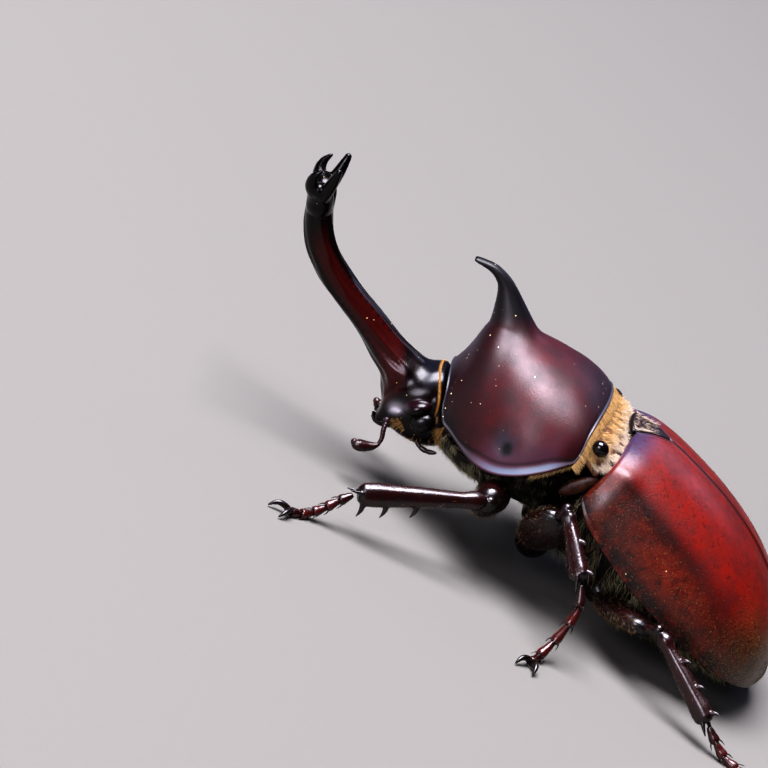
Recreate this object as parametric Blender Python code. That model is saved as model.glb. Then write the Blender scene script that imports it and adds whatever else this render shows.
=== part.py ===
# Rhinoceros beetle, a large male, standing on six feet: a still, life-size model in solids.
# Every shell plate, horn, eye, feeler and limb part is its own object.
# Metres, +Z up. The beetle faces -Y and its left side is at +X. The origin is under its middle,
# on the plane the feet stand on. Shapes are worked out in millimetres and scaled as meshes are made.
import math

import bmesh
import bpy
import numpy as np
from mathutils import Matrix, Vector

MM = 0.001
GAP = 0.2                 # clearance between neighbouring pieces, mm

# Posture: the body is pitched head up, the prothorax bends down from it, and the head bends further.
BODY_PITCH = 16.0         # degrees
BODY_HEIGHT = 20.8        # the scutellum's tip stands this high, mm
PROTHORAX_BEND = 30.0
PROTHORAX_PIVOT = (0.0, -8.0, -1.35)
HEAD_BEND = 55.0
HEAD_CENTRE = (0.0, -22.8, -16.7)

# Pronotum, in the prothorax frame: distance ahead of the rear edge against half width and heights.
PRONOTUM_LENGTH = 17.4
PRONOTUM_HALF_WIDTH = ((0.0, 9.2), (1.7, 10.4), (4.2, 11.3), (6.9, 11.6), (9.8, 10.6), (13.0, 8.5),
                       (15.9, 6.5), (17.4, 5.9))
PRONOTUM_CREST = ((0.0, 0.1), (1.2, 1.1), (3.3, 2.3), (5.6, 3.05), (8.9, 3.85), (12.0, 4.2),
                  (14.2, 3.7), (15.3, 2.3), (16.0, 0.6), (16.7, -0.7), (17.4, -1.7))
PRONOTUM_MARGIN = ((0.0, -4.3), (1.7, -4.8), (4.2, -6.1), (6.7, -7.4), (9.8, -8.5), (13.0, -8.2),
                   (15.9, -6.6), (17.4, -6.1))
PRONOTUM_ROUNDNESS = 2.1
PRONOTUM_REAR_CURVE = 0.0135   # how far the rear edge curves forward, mm per mm2 of offset
PRONOTUM_FRONT_BOW = 0.6       # how far the middle of the front edge stands ahead of its corners
PRONOTUM_RINGS = (0.0, 0.1, 0.24, 0.45, 0.66, 0.84, 0.95, 1.0)   # from the horn's root to the edge
PRONOTUM_LINING = ((0.95, -0.35), (0.86, 0.3), (0.4, 0.6))       # underside: shrink, rise above margin
FLARE_RISE = 1.0          # the shell rises this much into the thoracic horn
FLARE_REACH = 1.3

# Horns: each ring is an ellipse across the middle plane, given by the front and rear points of its
# outline there and its half width: (front ahead, front up, rear ahead, rear up, half width).
HORN_ROOT = (12.6, 2.1, 1.95)     # thoracic horn's root on the dome: ahead, half length, half width
THORACIC_HORN = ((14.6, 6.0, 11.35, 6.45, 1.6), (14.75, 7.1, 12.3, 7.55, 1.3),
                 (15.15, 8.1, 13.3, 8.6, 1.05), (15.8, 8.9, 14.55, 9.55, 0.85),
                 (16.6, 9.4, 15.9, 10.2, 0.72), (17.6, 9.7, 17.4, 10.4, 0.62),
                 (18.6, 9.95, 18.55, 10.4, 0.45))

# Elytra, body frame: distance behind the scutellum's tip against half width, crest and margin heights.
ELYTRA_FRONT = -3.8
ELYTRA_APEX = 25.9
ELYTRA_HALF_WIDTH = ((-4.0, 10.8), (-2.4, 11.8), (0.0, 12.3), (4.0, 12.8), (10.0, 13.1), (15.0, 13.0),
                     (19.0, 12.1), (22.0, 10.2), (24.0, 7.6), (25.3, 4.6), (25.9, 2.2))
ELYTRA_CREST = ((-4.0, -1.3), (-2.0, -0.4), (0.0, 0.0), (4.0, 0.2), (8.0, 0.1), (12.0, -0.4), (16.0, -1.4),
                (20.0, -3.2), (23.0, -5.7), (25.0, -8.4), (25.9, -9.8))
ELYTRA_MARGIN = ((-4.0, -8.2), (-2.0, -9.2), (0.0, -9.7), (4.0, -10.3), (10.0, -10.8), (16.0, -10.8),
                 (22.0, -10.7), (25.9, -10.9))
ELYTRA_ROUNDNESS = 2.4
ELYTRA_THICKNESS = 0.9
SCUTELLUM_LENGTH = 4.4
SCUTELLUM_HALF_WIDTH = 3.1

# Trunk sections, body frame: (behind, half width, top, widest level, bottom).
PROSTERNUM = ((-18.2, 3.4, -15.9, -16.3, -18.3), (-16.5, 5.6, -15.9, -16.2, -19.1),
              (-14.0, 7.4, -15.3, -15.6, -19.3), (-11.5, 8.6, -13.9, -14.3, -19.0),
              (-9.0, 8.9, -10.6, -11.4, -18.4), (-7.0, 8.8, -8.2, -9.2, -17.6),
              (-5.2, 8.4, -7.6, -8.6, -16.8), (-4.3, 8.0, -7.8, -8.8, -16.3))
MESOTHORAX = ((-8.3, 9.0, -2.3, -5.4, -6.9), (-6.6, 9.3, -2.05, -5.7, -7.1), (-5.3, 9.5, -2.0, -5.9, -7.3),
              (-4.1, 9.7, -2.25, -6.1, -7.35))
METATHORAX = ((-3.95, 8.6, -2.9, -8.6, -16.6), (-2.0, 10.3, -1.9, -9.4, -17.4),
              (1.0, 11.0, -1.3, -10.1, -17.6), (4.0, 11.3, -1.1, -10.6, -17.4),
              (7.0, 11.4, -1.2, -10.9, -17.0), (10.6, 11.5, -1.6, -11.1, -16.4))
ABDOMEN = ((10.85, 11.8, -1.65, -11.1, -16.5), (13.0, 11.8, -2.0, -11.1, -16.0),
           (13.3, 11.6, -2.1, -11.1, -15.6), (15.6, 11.5, -2.6, -11.1, -15.3),
           (15.9, 11.3, -2.7, -11.1, -14.9), (18.2, 10.9, -3.9, -11.1, -14.7),
           (18.5, 10.7, -4.0, -11.1, -14.3), (20.8, 9.4, -5.4, -11.0, -14.0),
           (22.6, 7.7, -7.1, -11.0, -13.4))
PYGIDIUM = ((22.85, 7.3, -7.6, -10.8, -13.2), (23.7, 6.2, -8.7, -10.9, -12.9),
            (24.4, 4.4, -9.6, -11.0, -12.4))

# Head, head frame: (ahead of its centre, half width, top, widest level, bottom).
HEAD = ((-3.9, 3.5, 2.1, -2.4, -5.6), (-3.0, 4.0, 2.45, -2.1, -6.3), (-1.4, 4.3, 2.5, -1.6, -6.6),
        (0.6, 4.1, 2.35, -1.4, -6.1), (2.4, 3.5, 2.35, -1.5, -4.9), (3.4, 3.1, 2.25, -1.7, -3.8),
        (3.75, 2.9, 0.0, -2.0, -3.3), (4.3, 2.4, -1.7, -2.1, -2.7))
EYE_PLACE = (4.4, 1.0, -2.9)      # left, behind and above the head's centre
EYE_RADII = (1.05, 1.2, 1.1)

# Head horn, body frame, ring by ring as above.
HEAD_HORN_LOWER = ((26.8, -18.0, 23.65, -13.55, 3.2), (28.6, -17.6, 25.3, -13.75, 2.6),
                   (30.8, -16.95, 27.8, -13.85, 2.2), (33.6, -16.5, 31.3, -13.4, 1.85),
                   (35.9, -16.25, 34.0, -13.2, 1.65))
HEAD_HORN_UPPER = ((36.2, -16.2, 34.3, -13.15, 1.62), (38.2, -15.9, 36.6, -12.8, 1.5),
                   (40.3, -15.25, 38.6, -12.3, 1.45), (42.3, -14.3, 40.4, -11.6, 1.45),
                   (44.2, -12.7, 41.8, -10.6, 1.5), (45.3, -11.3, 42.9, -9.6, 1.6))
# Fork: each arm leaves the shaft sideways and carries a front and a rear tine, (left, ahead, up, radius).
FORK_ARM = ((0.75, 44.45, -10.0, 1.3), (1.0, 45.0, -9.2, 1.5), (1.7, 45.5, -8.7, 1.3),
            (2.4, 45.8, -8.4, 0.9))
FRONT_TINE = ((2.0, 45.9, -8.9, 0.85), (2.7, 46.8, -8.4, 0.72), (3.25, 47.3, -7.4, 0.48),
              (3.45, 47.2, -6.3, 0.22))
REAR_TINE = ((2.0, 45.1, -8.6, 0.9), (2.6, 45.2, -7.6, 0.75), (3.05, 45.5, -6.3, 0.6),
             (3.4, 45.85, -5.1, 0.42))

# Feelers and mouth parts, left side, body frame: (left, ahead, up, radius).
FEELER_STALK = ((3.9, 22.7, -20.2, 0.42), (4.45, 22.4, -20.9, 0.5), (5.0, 21.7, -21.9, 0.36),
                (5.2, 21.6, -22.35, 0.34))
FEELER_CLUB = ((5.3, 21.8, -22.85, 0.3), (5.5, 22.3, -23.4, 0.6), (5.8, 22.9, -23.8, 0.7),
               (6.0, 23.5, -23.95, 0.6), (6.1, 23.95, -23.8, 0.28))
MANDIBLE = ((1.9, 21.97, -22.05, 0.3), (1.9, 22.52, -22.39, 0.38), (1.6, 23.14, -22.5, 0.34),
            (1.2, 23.71, -22.35, 0.27))
PALP = ((2.4, 18.9, -20.9, 0.35), (2.8, 18.3, -21.0, 0.4), (3.1, 17.4, -20.6, 0.42),
        (3.2, 16.6, -19.8, 0.3))
FEELER_LIFT_RIGHT = 1.0   # the right feeler's club is held this much higher than the left one's

# Legs, left side, in the standing frame: joints and foot path in mm from the point on the ground
# under the scutellum's tip.
# Each limb part: start, end, half breadth, half thickness, and the direction of its breadth.
LEGS = {
    "front": {
        "coxa": ((2.4, -13.3, 5.9), (6.1, -13.8, 7.1), 1.9, 1.9),
        "femur": ((6.4, -13.9, 7.2), (13.1, -14.35, 9.0), 2.2, 1.7),
        "breadth": (0.0, 0.25, 1.0),
        "tibia": ((13.9, -14.4, 9.2), (18.7, -26.7, 4.3), 1.15, 0.95),
        "tarsus": ((18.9, -27.1, 4.0), (19.7, -28.2, 2.7), (20.5, -29.3, 1.3), (21.5, -30.5, 0.42),
                   (22.9, -31.9, 0.36)),
        "teeth": ((0.55, 0.9), (0.78, 1.05), (0.96, 1.0)),
        "teeth_toward": (0.35, 0.0, -1.0),
        "turn_right": -14.0},
    "middle": {
        "coxa": ((2.6, -7.1, 4.2), (6.6, -7.5, 5.0), 1.9, 1.9),
        "femur": ((6.9, -7.6, 5.2), (13.3, -7.3, 11.6), 2.4, 1.45),
        "breadth": (0.1, 1.0, 0.15),
        "tibia": ((13.7, -6.8, 12.8), (18.5, -2.3, 8.7), 0.98, 0.85),
        "tarsus": ((18.7, -1.9, 8.3), (19.5, -0.9, 6.3), (20.4, -1.0, 4.0), (21.6, -1.6, 1.5),
                   (22.9, -2.2, 0.4), (24.6, -2.6, 0.36)),
        "teeth": ((0.5, 0.7), (0.94, 0.8)),
        "teeth_toward": (0.5, 1.0, 0.3),
        "turn_right": 5.0},
    "hind": {
        "coxa": ((2.6, 1.4, 3.7), (6.4, 2.1, 3.7), 1.8, 1.7),
        "femur": ((6.7, 2.3, 3.6), (14.6, 7.0, 6.2), 2.5, 1.3),
        "breadth": (-0.4, 1.0, 0.0),
        "tibia": ((15.1, 7.4, 6.65), (19.8, 16.9, 2.7), 1.05, 0.9),
        "tarsus": ((20.0, 17.3, 2.5), (20.3, 18.9, 1.4), (20.6, 20.7, 0.5), (20.9, 22.9, 0.36),
                   (21.3, 25.4, 0.36)),
        "teeth": ((0.38, 0.75), (0.66, 0.8), (0.95, 0.8)),
        "teeth_toward": (0.5, 1.0, 0.3),
        "turn_right": -4.0},
}

# Feet: (fraction of a joint's length, radius), and the claws' bend as (spread, reach, height, radius).
FOOT_JOINT = ((0.0, 0.32), (0.35, 0.5), (0.85, 0.58))
FOOT_TIP_RADIUS = 0.34
CLAW_ROOT = (0.0, 0.42, 0.62, 0.38)
CLAW = ((0.6, 0.9, 0.85, 0.34), (0.95, 1.7, 0.62, 0.28), (1.05, 2.3, 0.28, 0.2))

# Shape of each limb part: (fraction of its length, breadth, thickness) as fractions of the full size.
LIMB_PROFILES = {
    "coxa": ((0.0, 0.45, 0.45), (0.2, 0.9, 0.9), (0.55, 1.0, 1.0), (0.85, 0.72, 0.72), (1.0, 0.4, 0.4)),
    "femur": ((0.0, 0.4, 0.45), (0.12, 0.72, 0.8), (0.35, 1.0, 1.0), (0.6, 0.98, 1.0), (0.85, 0.72, 0.8),
              (1.0, 0.42, 0.45)),
    "tibia": ((0.0, 0.45, 0.5), (0.06, 0.8, 0.85), (0.2, 0.75, 0.78), (0.36, 0.85, 0.85), (0.5, 0.95, 0.9),
              (0.64, 1.0, 0.92), (0.76, 1.05, 0.95), (0.9, 1.1, 1.0), (1.0, 0.7, 0.7)),
}

LIMB_MAKE = (("coxa", "belly_brown", 10), ("femur", "leg_red", 10), ("tibia", "leg_red", 8))   # and sides

# Colour, roughness and metallic value of each finish.
FINISHES = {
    "shell_maroon": ((0.060, 0.012, 0.014), 0.42, 0.0),
    "elytra_red": ((0.200, 0.014, 0.006), 0.36, 0.0),
    "horn_black": ((0.014, 0.006, 0.006), 0.25, 0.0),
    "belly_brown": ((0.030, 0.010, 0.006), 0.50, 0.0),
    "leg_red": ((0.080, 0.010, 0.008), 0.28, 0.0),
    "eye_black": ((0.006, 0.005, 0.005), 0.12, 0.0),
    "feeler_brown": ((0.060, 0.010, 0.005), 0.30, 0.0),
}


def clear_scene():
    for obj in list(bpy.data.objects):
        bpy.data.objects.remove(obj, do_unlink=True)


def make_finishes():
    """One Principled material for each finish, copied again for every object."""
    made = {}
    for name, (colour, roughness, metallic) in FINISHES.items():
        material = bpy.data.materials.new(name)
        material.use_nodes = True
        shader = material.node_tree.nodes["Principled BSDF"]
        shader.inputs["Base Color"].default_value = (*colour, 1.0)
        shader.inputs["Roughness"].default_value = roughness
        shader.inputs["Metallic"].default_value = metallic
        made[name] = material
    return made


def frame(name, parent, location=(0.0, 0.0, 0.0), bend=0.0):
    """An empty that carries pieces: placed in mm, turned about X in degrees."""
    empty = bpy.data.objects.new(name, None)
    bpy.context.scene.collection.objects.link(empty)
    empty.parent = parent
    empty.location = Vector(location) * MM
    empty.rotation_euler = (math.radians(bend), 0.0, 0.0)
    return empty


def curve_through(stations):
    """Smooth function through (x, value...) stations: cubic pieces with the neighbours' mean slopes."""
    table = np.array(stations, dtype=float)
    x, values = table[:, 0], table[:, 1:]
    slopes = np.gradient(values, x, axis=0)

    def value_at(at):
        at = np.clip(np.atleast_1d(np.asarray(at, dtype=float)), x[0], x[-1])
        i = np.clip(np.searchsorted(x, at, side="right") - 1, 0, len(x) - 2)
        span = x[i + 1] - x[i]
        t = ((at - x[i]) / span)[:, None]
        span = span[:, None]
        return (values[i] * (1 + 2 * t) * (1 - t) ** 2 + slopes[i] * span * t * (1 - t) ** 2
                + values[i + 1] * t * t * (3 - 2 * t) + slopes[i + 1] * span * t * t * (t - 1))
    return value_at


def path_through(points, steps):
    """Evenly stepped smooth path through points, with whatever values each point carries."""
    points = np.array(points, dtype=float)
    lengths = np.linalg.norm(np.diff(points[:, :3], axis=0), axis=1)
    along = np.concatenate([[0.0], np.cumsum(lengths)])
    curve = curve_through(np.column_stack([along, points]))
    return curve(np.linspace(0.0, along[-1], steps))


def rounded(value, roundness):
    """Signed power that turns a circle into a superellipse."""
    return np.sign(value) * np.abs(value) ** (2.0 / roundness)


def add_object(name, bm, finish, parent, location=(0.0, 0.0, 0.0), rotation=None):
    """Turn a bmesh in mm into a placed, smooth-shaded object in metres."""
    bmesh.ops.recalc_face_normals(bm, faces=bm.faces[:])
    bmesh.ops.scale(bm, vec=(MM, MM, MM), verts=bm.verts[:])
    mesh = bpy.data.meshes.new(name)
    bm.to_mesh(mesh)
    bm.free()
    mesh.shade_smooth()
    mesh.set_sharp_from_angle(angle=math.radians(40.0))
    obj = bpy.data.objects.new(name, mesh)
    bpy.context.scene.collection.objects.link(obj)
    obj.parent = parent
    obj.location = Vector(location) * MM
    if rotation is not None:
        obj.rotation_mode = "QUATERNION"
        obj.rotation_quaternion = rotation
    if finish:
        material = MATERIALS[finish].copy()
        material.name = name + "_finish"
        mesh.materials.append(material)
    return obj


def rings_to_bmesh(rings):
    """Closed body through a stack of closed rings, each end closed by a fan round its centre."""
    bm = bmesh.new()
    loops = [[bm.verts.new(point) for point in ring] for ring in rings]
    count = len(loops[0])
    for low, high in zip(loops, loops[1:]):
        for k in range(count):
            n = (k + 1) % count
            bm.faces.new((low[k], low[n], high[n], high[k]))
    for loop in (loops[0], loops[-1]):
        centre = bm.verts.new(sum((v.co for v in loop), Vector()) / count)
        for k in range(count):
            bm.faces.new((loop[k], loop[(k + 1) % count], centre))
    return bm


def shell_to_bmesh(outer, inner):
    """Closed thin shell from two grids of points: outer skin, inner skin and the rim round both."""
    bm = bmesh.new()
    skins = [[[bm.verts.new(point) for point in row] for row in grid] for grid in (outer, inner)]
    rows, columns = len(outer), len(outer[0])
    for skin in skins:
        for i in range(rows - 1):
            for k in range(columns - 1):
                bm.faces.new((skin[i][k], skin[i][k + 1], skin[i + 1][k + 1], skin[i + 1][k]))
    edge = ([(0, k) for k in range(columns)] + [(i, columns - 1) for i in range(1, rows)]
            + [(rows - 1, k) for k in range(columns - 2, -1, -1)]
            + [(i, 0) for i in range(rows - 2, 0, -1)])
    for (i, k), (m, n) in zip(edge, edge[1:] + edge[:1]):
        bm.faces.new((skins[0][i][k], skins[0][m][n], skins[1][m][n], skins[1][i][k]))
    return bm


def tube_rings(path, sides, across=None, twist=0.5):
    """Rings square to a path of (x, y, z, radius) or (x, y, z, half thickness, half width) rows.
    across is the direction that the half width keeps; twist turns the ring, in steps of its sides."""
    path = np.asarray(path, dtype=float)
    centres = path[:, :3]
    heading = np.gradient(centres, axis=0)
    heading /= np.linalg.norm(heading, axis=1)[:, None]
    thick, wide = path[:, 3], path[:, -1]
    angles = (np.arange(sides) + twist) * 2.0 * math.pi / sides
    rings = []
    for centre, ahead, half_thick, half_wide in zip(centres, heading, thick, wide):
        ahead = Vector(ahead)
        side = Vector(across) if across else Vector((0.0, 0.0, 1.0)).cross(ahead)
        side = (side - side.dot(ahead) * ahead).normalized()
        lift = ahead.cross(side)
        rings.append([Vector(centre) + side * half_wide * math.cos(a) + lift * half_thick * math.sin(a)
                      for a in angles])
    return rings


def chord_rings(stations, sides):
    """Elliptical rings of a horn that curves in the middle plane, from the ends of each chord."""
    turn = np.arange(sides) * 2.0 * math.pi / sides
    rings = []
    for front_ahead, front_up, rear_ahead, rear_up, half_width in stations:
        mean = np.array((front_ahead + rear_ahead, front_up + rear_up)) / 2.0
        reach = np.array((front_ahead - rear_ahead, front_up - rear_up)) / 2.0
        rings.append([Vector((half_width * math.sin(a), -(mean[0] + reach[0] * math.cos(a)),
                              mean[1] + reach[1] * math.cos(a))) for a in turn])
    return rings


def body_loft(name, sections, sides, roundness, finish, parent):
    """Closed body through cross sections (behind, half width, top, widest level, bottom)."""
    angles = np.arange(sides) * 2.0 * math.pi / sides
    above, below = roundness
    rings = []
    for behind, half_width, top, level, bottom in sections:
        sine, cosine = np.sin(angles), np.cos(angles)
        upper = cosine >= 0.0
        x = np.where(upper, rounded(sine, above), rounded(sine, below)) * half_width
        rise = rounded(cosine, above) * (top - level)
        drop = rounded(cosine, below) * (level - bottom)
        z = level + np.where(upper, rise, drop)
        rings.append([Vector((a, behind, b)) for a, b in zip(x, z)])
    return add_object(name, rings_to_bmesh(rings), finish, parent)


def cut_by(host, cutter):
    """Take the cutter out of the host with a live Boolean; the cutter itself stays hidden."""
    cutter.hide_render = True
    cutter.display_type = "WIRE"
    cut = host.modifiers.new("socket_" + cutter.name, "BOOLEAN")
    cut.operation = "DIFFERENCE"
    cut.solver = "EXACT"
    cut.object = cutter


def join_to(host, addition):
    """Grow the addition onto the host with a live Boolean union; the addition itself stays hidden."""
    addition.hide_render = True
    addition.display_type = "WIRE"
    union = host.modifiers.new("join_" + addition.name, "BOOLEAN")
    union.operation = "UNION"
    union.solver = "EXACT"
    union.object = addition


# ---- prothorax -------------------------------------------------------------------------------------

half_width_at = curve_through(PRONOTUM_HALF_WIDTH)
crest_at = curve_through(PRONOTUM_CREST)
margin_at = curve_through(PRONOTUM_MARGIN)


def dome_height(x, ahead):
    """Height of the pronotum over a point of its plan: an arch from margin to crest to margin."""
    half = half_width_at(ahead)[:, 0]
    low, high = margin_at(ahead)[:, 0], crest_at(ahead)[:, 0]
    part = np.clip(np.abs(x) / half, 0.0, 1.0) ** PRONOTUM_ROUNDNESS
    return low + (high - low) * (1.0 - part) ** (1.0 / PRONOTUM_ROUNDNESS)


def pronotum_outline(count):
    """Plan outline, evenly stepped round from the rear edge's middle: x and distance ahead."""
    side = np.linspace(0.0, 1.0, 60)
    corner_ahead, corner_x = PRONOTUM_HALF_WIDTH[1]
    rear_x = side * corner_x
    rear = np.column_stack([rear_x, PRONOTUM_REAR_CURVE * rear_x ** 2])
    flank_ahead = corner_ahead + side[1:] * (PRONOTUM_LENGTH - PRONOTUM_FRONT_BOW - corner_ahead)
    flank = np.column_stack([half_width_at(flank_ahead)[:, 0], flank_ahead])
    front_x = flank[-1, 0] * (1.0 - side[1:])
    front_ahead = PRONOTUM_LENGTH - PRONOTUM_FRONT_BOW * (front_x / flank[-1, 0]) ** 2
    front = np.column_stack([front_x, front_ahead])
    left = np.vstack([rear, flank, front])
    right = left[-2:0:-1] * (-1.0, 1.0)
    loop = np.vstack([left, right, left[:1]])
    along = np.concatenate([[0.0], np.cumsum(np.linalg.norm(np.diff(loop, axis=0), axis=1))])
    stops = np.arange(count) * along[-1] / count
    return np.column_stack([np.interp(stops, along, loop[:, 0]), np.interp(stops, along, loop[:, 1])])


def horn_root_ring(outline):
    """Ellipse at the horn's root, each point in the direction of the matching outline point."""
    ahead, half_long, half_wide = HORN_ROOT
    centre = np.array((0.0, ahead))
    way = outline - centre
    way /= np.linalg.norm(way, axis=1)[:, None]
    reach = 1.0 / np.sqrt((way[:, 0] / half_wide) ** 2 + (way[:, 1] / half_long) ** 2)
    return centre + way * reach[:, None]


def pronotum_ring(outline, root, out):
    """Ring of the dome: out is 0 at the horn's root and 1 at the plate's edge."""
    plan = root + (outline - root) * out
    distance = np.linalg.norm(plan - root, axis=1)
    height = dome_height(plan[:, 0], plan[:, 1]) + FLARE_RISE * np.exp(-((distance / FLARE_REACH) ** 1.5))
    return [Vector((x, -ahead, z)) for (x, ahead), z in zip(plan, height)]


def make_pronotum(parent, neck_cutter):
    outline = pronotum_outline(30)
    root = horn_root_ring(outline)
    rings = [pronotum_ring(outline, root, out) for out in PRONOTUM_RINGS]
    middle = np.array((0.0, 0.5 * PRONOTUM_LENGTH))
    for shrink, lift in PRONOTUM_LINING:
        plan = middle + (outline - middle) * shrink
        edge = dome_height(outline[:, 0], outline[:, 1])
        floor = margin_at(plan[:, 1])[:, 0] + lift
        height = np.where(shrink > 0.9, np.minimum(edge - 0.4, floor + 2.0), floor)
        rings.append([Vector((x, -ahead, z)) for (x, ahead), z in zip(plan, height)])
    pronotum = add_object("pronotum", rings_to_bmesh(rings), "shell_maroon", parent)
    cut_by(pronotum, neck_cutter)
    return pronotum


def pronotum_room(parent):
    """Upright prism just larger than the pronotum's plan, for cutting what sits behind its rear edge."""
    outline = pronotum_outline(30)
    middle = np.array((0.0, 0.5 * PRONOTUM_LENGTH))
    plan = middle + (outline - middle) * (1.0 + 1.2 * GAP / middle[1])
    rings = [[Vector((x, -ahead, height)) for x, ahead in plan] for height in (-9.0, 3.0)]
    return add_object("pronotum_clearance", rings_to_bmesh(rings), None, parent)


def make_thoracic_horn(parent):
    """Short horn that leans forward: the root ring lifted by the gap, then rings along its curve."""
    sides = 12
    turn = np.arange(sides) * 2.0 * math.pi / sides
    ahead, half_long, half_wide = HORN_ROOT
    x, f = half_wide * np.sin(turn), ahead + half_long * np.cos(turn)
    rise = dome_height(x, f) + FLARE_RISE + GAP
    rings = [[Vector((a, -b, c)) for a, b, c in zip(x, f, rise)]]
    rings += chord_rings(THORACIC_HORN, sides)
    return add_object("thoracic_horn", rings_to_bmesh(rings), "horn_black", parent)


# ---- elytra ----------------------------------------------------------------------------------------

elytra_width_at = curve_through(ELYTRA_HALF_WIDTH)
elytra_crest_at = curve_through(ELYTRA_CREST)
elytra_margin_at = curve_through(ELYTRA_MARGIN)


def elytron_skin(side, depth, rows, columns):
    """Grid of one wing case from suture to margin, sunk below the outer surface by depth."""
    along = np.linspace(0.0, 1.0, rows)
    behind = ELYTRA_FRONT + (ELYTRA_APEX - ELYTRA_FRONT) * np.sin(along * math.pi / 2.0) ** 0.9
    half = elytra_width_at(behind)[:, 0]
    low, high = elytra_margin_at(behind)[:, 0], elytra_crest_at(behind)[:, 0]
    sink = np.minimum(depth, 0.4 * np.minimum(high - low, half))
    notch = 0.5 * GAP + np.clip(-behind / SCUTELLUM_LENGTH, 0.0, 1.0) * (SCUTELLUM_HALF_WIDTH + GAP)
    across = np.sin(np.linspace(0.0, 1.0, columns) * math.pi / 2.0)
    grid = []
    for y, w, m, c, s, n in zip(behind, half, low, high, sink, notch):
        x = n + (w - s - n) * across
        arch = (1.0 - (x / (w - s)) ** ELYTRA_ROUNDNESS).clip(0.0) ** (1.0 / ELYTRA_ROUNDNESS)
        z = m + (c - s - m) * arch
        row = [Vector((side * a, y, b)) for a, b in zip(x, z)]
        row.append(Vector((side * (w - s - 0.12 * (w > 3.0)), y, m - 0.5 + 0.2 * s)))
        grid.append(row)
    return grid


def make_elytron(side, name, parent):
    rows, columns = 13, 8
    outer = elytron_skin(side, 0.0, rows, columns)
    inner = elytron_skin(side, ELYTRA_THICKNESS, rows, columns)
    return add_object(name, shell_to_bmesh(outer, inner), "elytra_red", parent)


def make_scutellum(parent):
    """Small shield between the wing cases: a rounded triangle with its tip at the origin."""
    outline = []
    for part in np.linspace(0.0, 1.0, 5):
        outline.append((SCUTELLUM_HALF_WIDTH * part ** 0.9, -SCUTELLUM_LENGTH * part - 0.25))
    outline = outline + [(-x, y) for x, y in reversed(outline[1:])]
    rings = []
    for shrink, lift in ((0.86, 0.12), (1.0, -0.1), (1.0, -0.45), (0.9, -0.6)):
        middle = -0.62 * SCUTELLUM_LENGTH
        ring = []
        for x, y in outline:
            crest = float(elytra_crest_at(y)[0, 0])
            ring.append(Vector((x * shrink, middle + (y - middle) * shrink, crest + lift)))
        rings.append(ring)
    return add_object("scutellum", rings_to_bmesh(rings), "shell_maroon", parent)


# ---- head ------------------------------------------------------------------------------------------

def make_head_horn(name, stations, parent):
    """Length of the head horn: its outline's stations made smooth, then rings."""
    stops = np.linspace(0.0, len(stations) - 1.0, 7)
    smooth = curve_through([(i, *row) for i, row in enumerate(stations)])(stops)
    return add_object(name, rings_to_bmesh(chord_rings(smooth, 12)), "horn_black", parent)


def make_fork_arm(side, name, parent):
    """One arm of the horn's fork with its two tines. The arms stand face to face in the middle."""
    made = []
    for part, points in (("", FORK_ARM), ("_front_tine", FRONT_TINE), ("_rear_tine", REAR_TINE)):
        path = path_through([(x, -f, u, r) for x, f, u, r in points], 5)
        rings = [[Vector((side * max(p.x, 0.5 * GAP), p.y, p.z)) for p in ring]
                 for ring in tube_rings(path, 8)]
        made.append(add_object(name + part, rings_to_bmesh(rings), None if part else "horn_black", parent))
    join_to(made[0], made[1])
    join_to(made[0], made[2])


def make_ellipsoid(name, radii, finish, parent, location):
    bm = bmesh.new()
    bmesh.ops.create_uvsphere(bm, u_segments=10, v_segments=7, radius=1.0)
    bmesh.ops.scale(bm, vec=radii, verts=bm.verts[:])
    return add_object(name, bm, finish, parent, location)


def add_bar(name, side, points, steps, finish, parent):
    """Thin round piece of one side through its points, body frame."""
    path = path_through([(side * x, -ahead, up, radius) for x, ahead, up, radius in points], steps)
    name = name + ("_left" if side > 0 else "_right")
    add_object(name, rings_to_bmesh(tube_rings(path, 8)), finish, parent)


def make_feeler(side, parent):
    """Antenna: a thin elbowed stalk and a fat club, body frame; the right one is held higher."""
    lift = FEELER_LIFT_RIGHT if side < 0 else 0.0
    last = len(FEELER_STALK) - 1
    stalk = []
    for i, (x, ahead, up, radius) in enumerate(FEELER_STALK):
        stalk.append((x, ahead, up + lift * i / last, radius))
    club = [(x, ahead, up + lift, radius) for x, ahead, up, radius in FEELER_CLUB]
    add_bar("antenna_stalk", side, stalk, 6, "feeler_brown", parent)
    add_bar("antenna_club", side, club, 6, "feeler_brown", parent)


def make_mouthparts(side, parent):
    """Mandible and palp of one side, body frame."""
    add_bar("mandible", side, MANDIBLE, 5, "horn_black", parent)
    add_bar("palp", side, PALP, 5, "feeler_brown", parent)


# ---- legs ------------------------------------------------------------------------------------------

def posed(point, side, hip, turn):
    """A left-side point carried to its own side: mirrored, then turned about the hip's vertical."""
    x, y, z = point
    if side > 0:
        return Vector((x, y, z))
    spin = Matrix.Rotation(math.radians(turn), 3, "Z")
    centre = Vector((-hip[0], hip[1], 0.0))
    return spin @ (Vector((-x, y, z)) - centre) + centre


def limb_rings(start, end, profile, breadth, sides, room=0.0):
    """A limb part modelled along its own +Z: profile rows are (fraction of the length, half breadth,
    half thickness). Gives its bmesh, its joint and the turn that aims it from start to end."""
    length = (end - start).length + 2.0 * room
    ahead = (end - start).normalized()
    wide = (breadth - breadth.dot(ahead) * ahead).normalized()
    turn = Matrix((wide, ahead.cross(wide), ahead)).transposed().to_quaternion()
    angles = [2.0 * math.pi * k / sides for k in range(sides)]
    rings = [[Vector(((broad + room) * math.cos(a), (thick + room) * math.sin(a), part * length - room))
              for a in angles] for part, broad, thick in profile]
    return rings_to_bmesh(rings), start, turn


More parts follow.
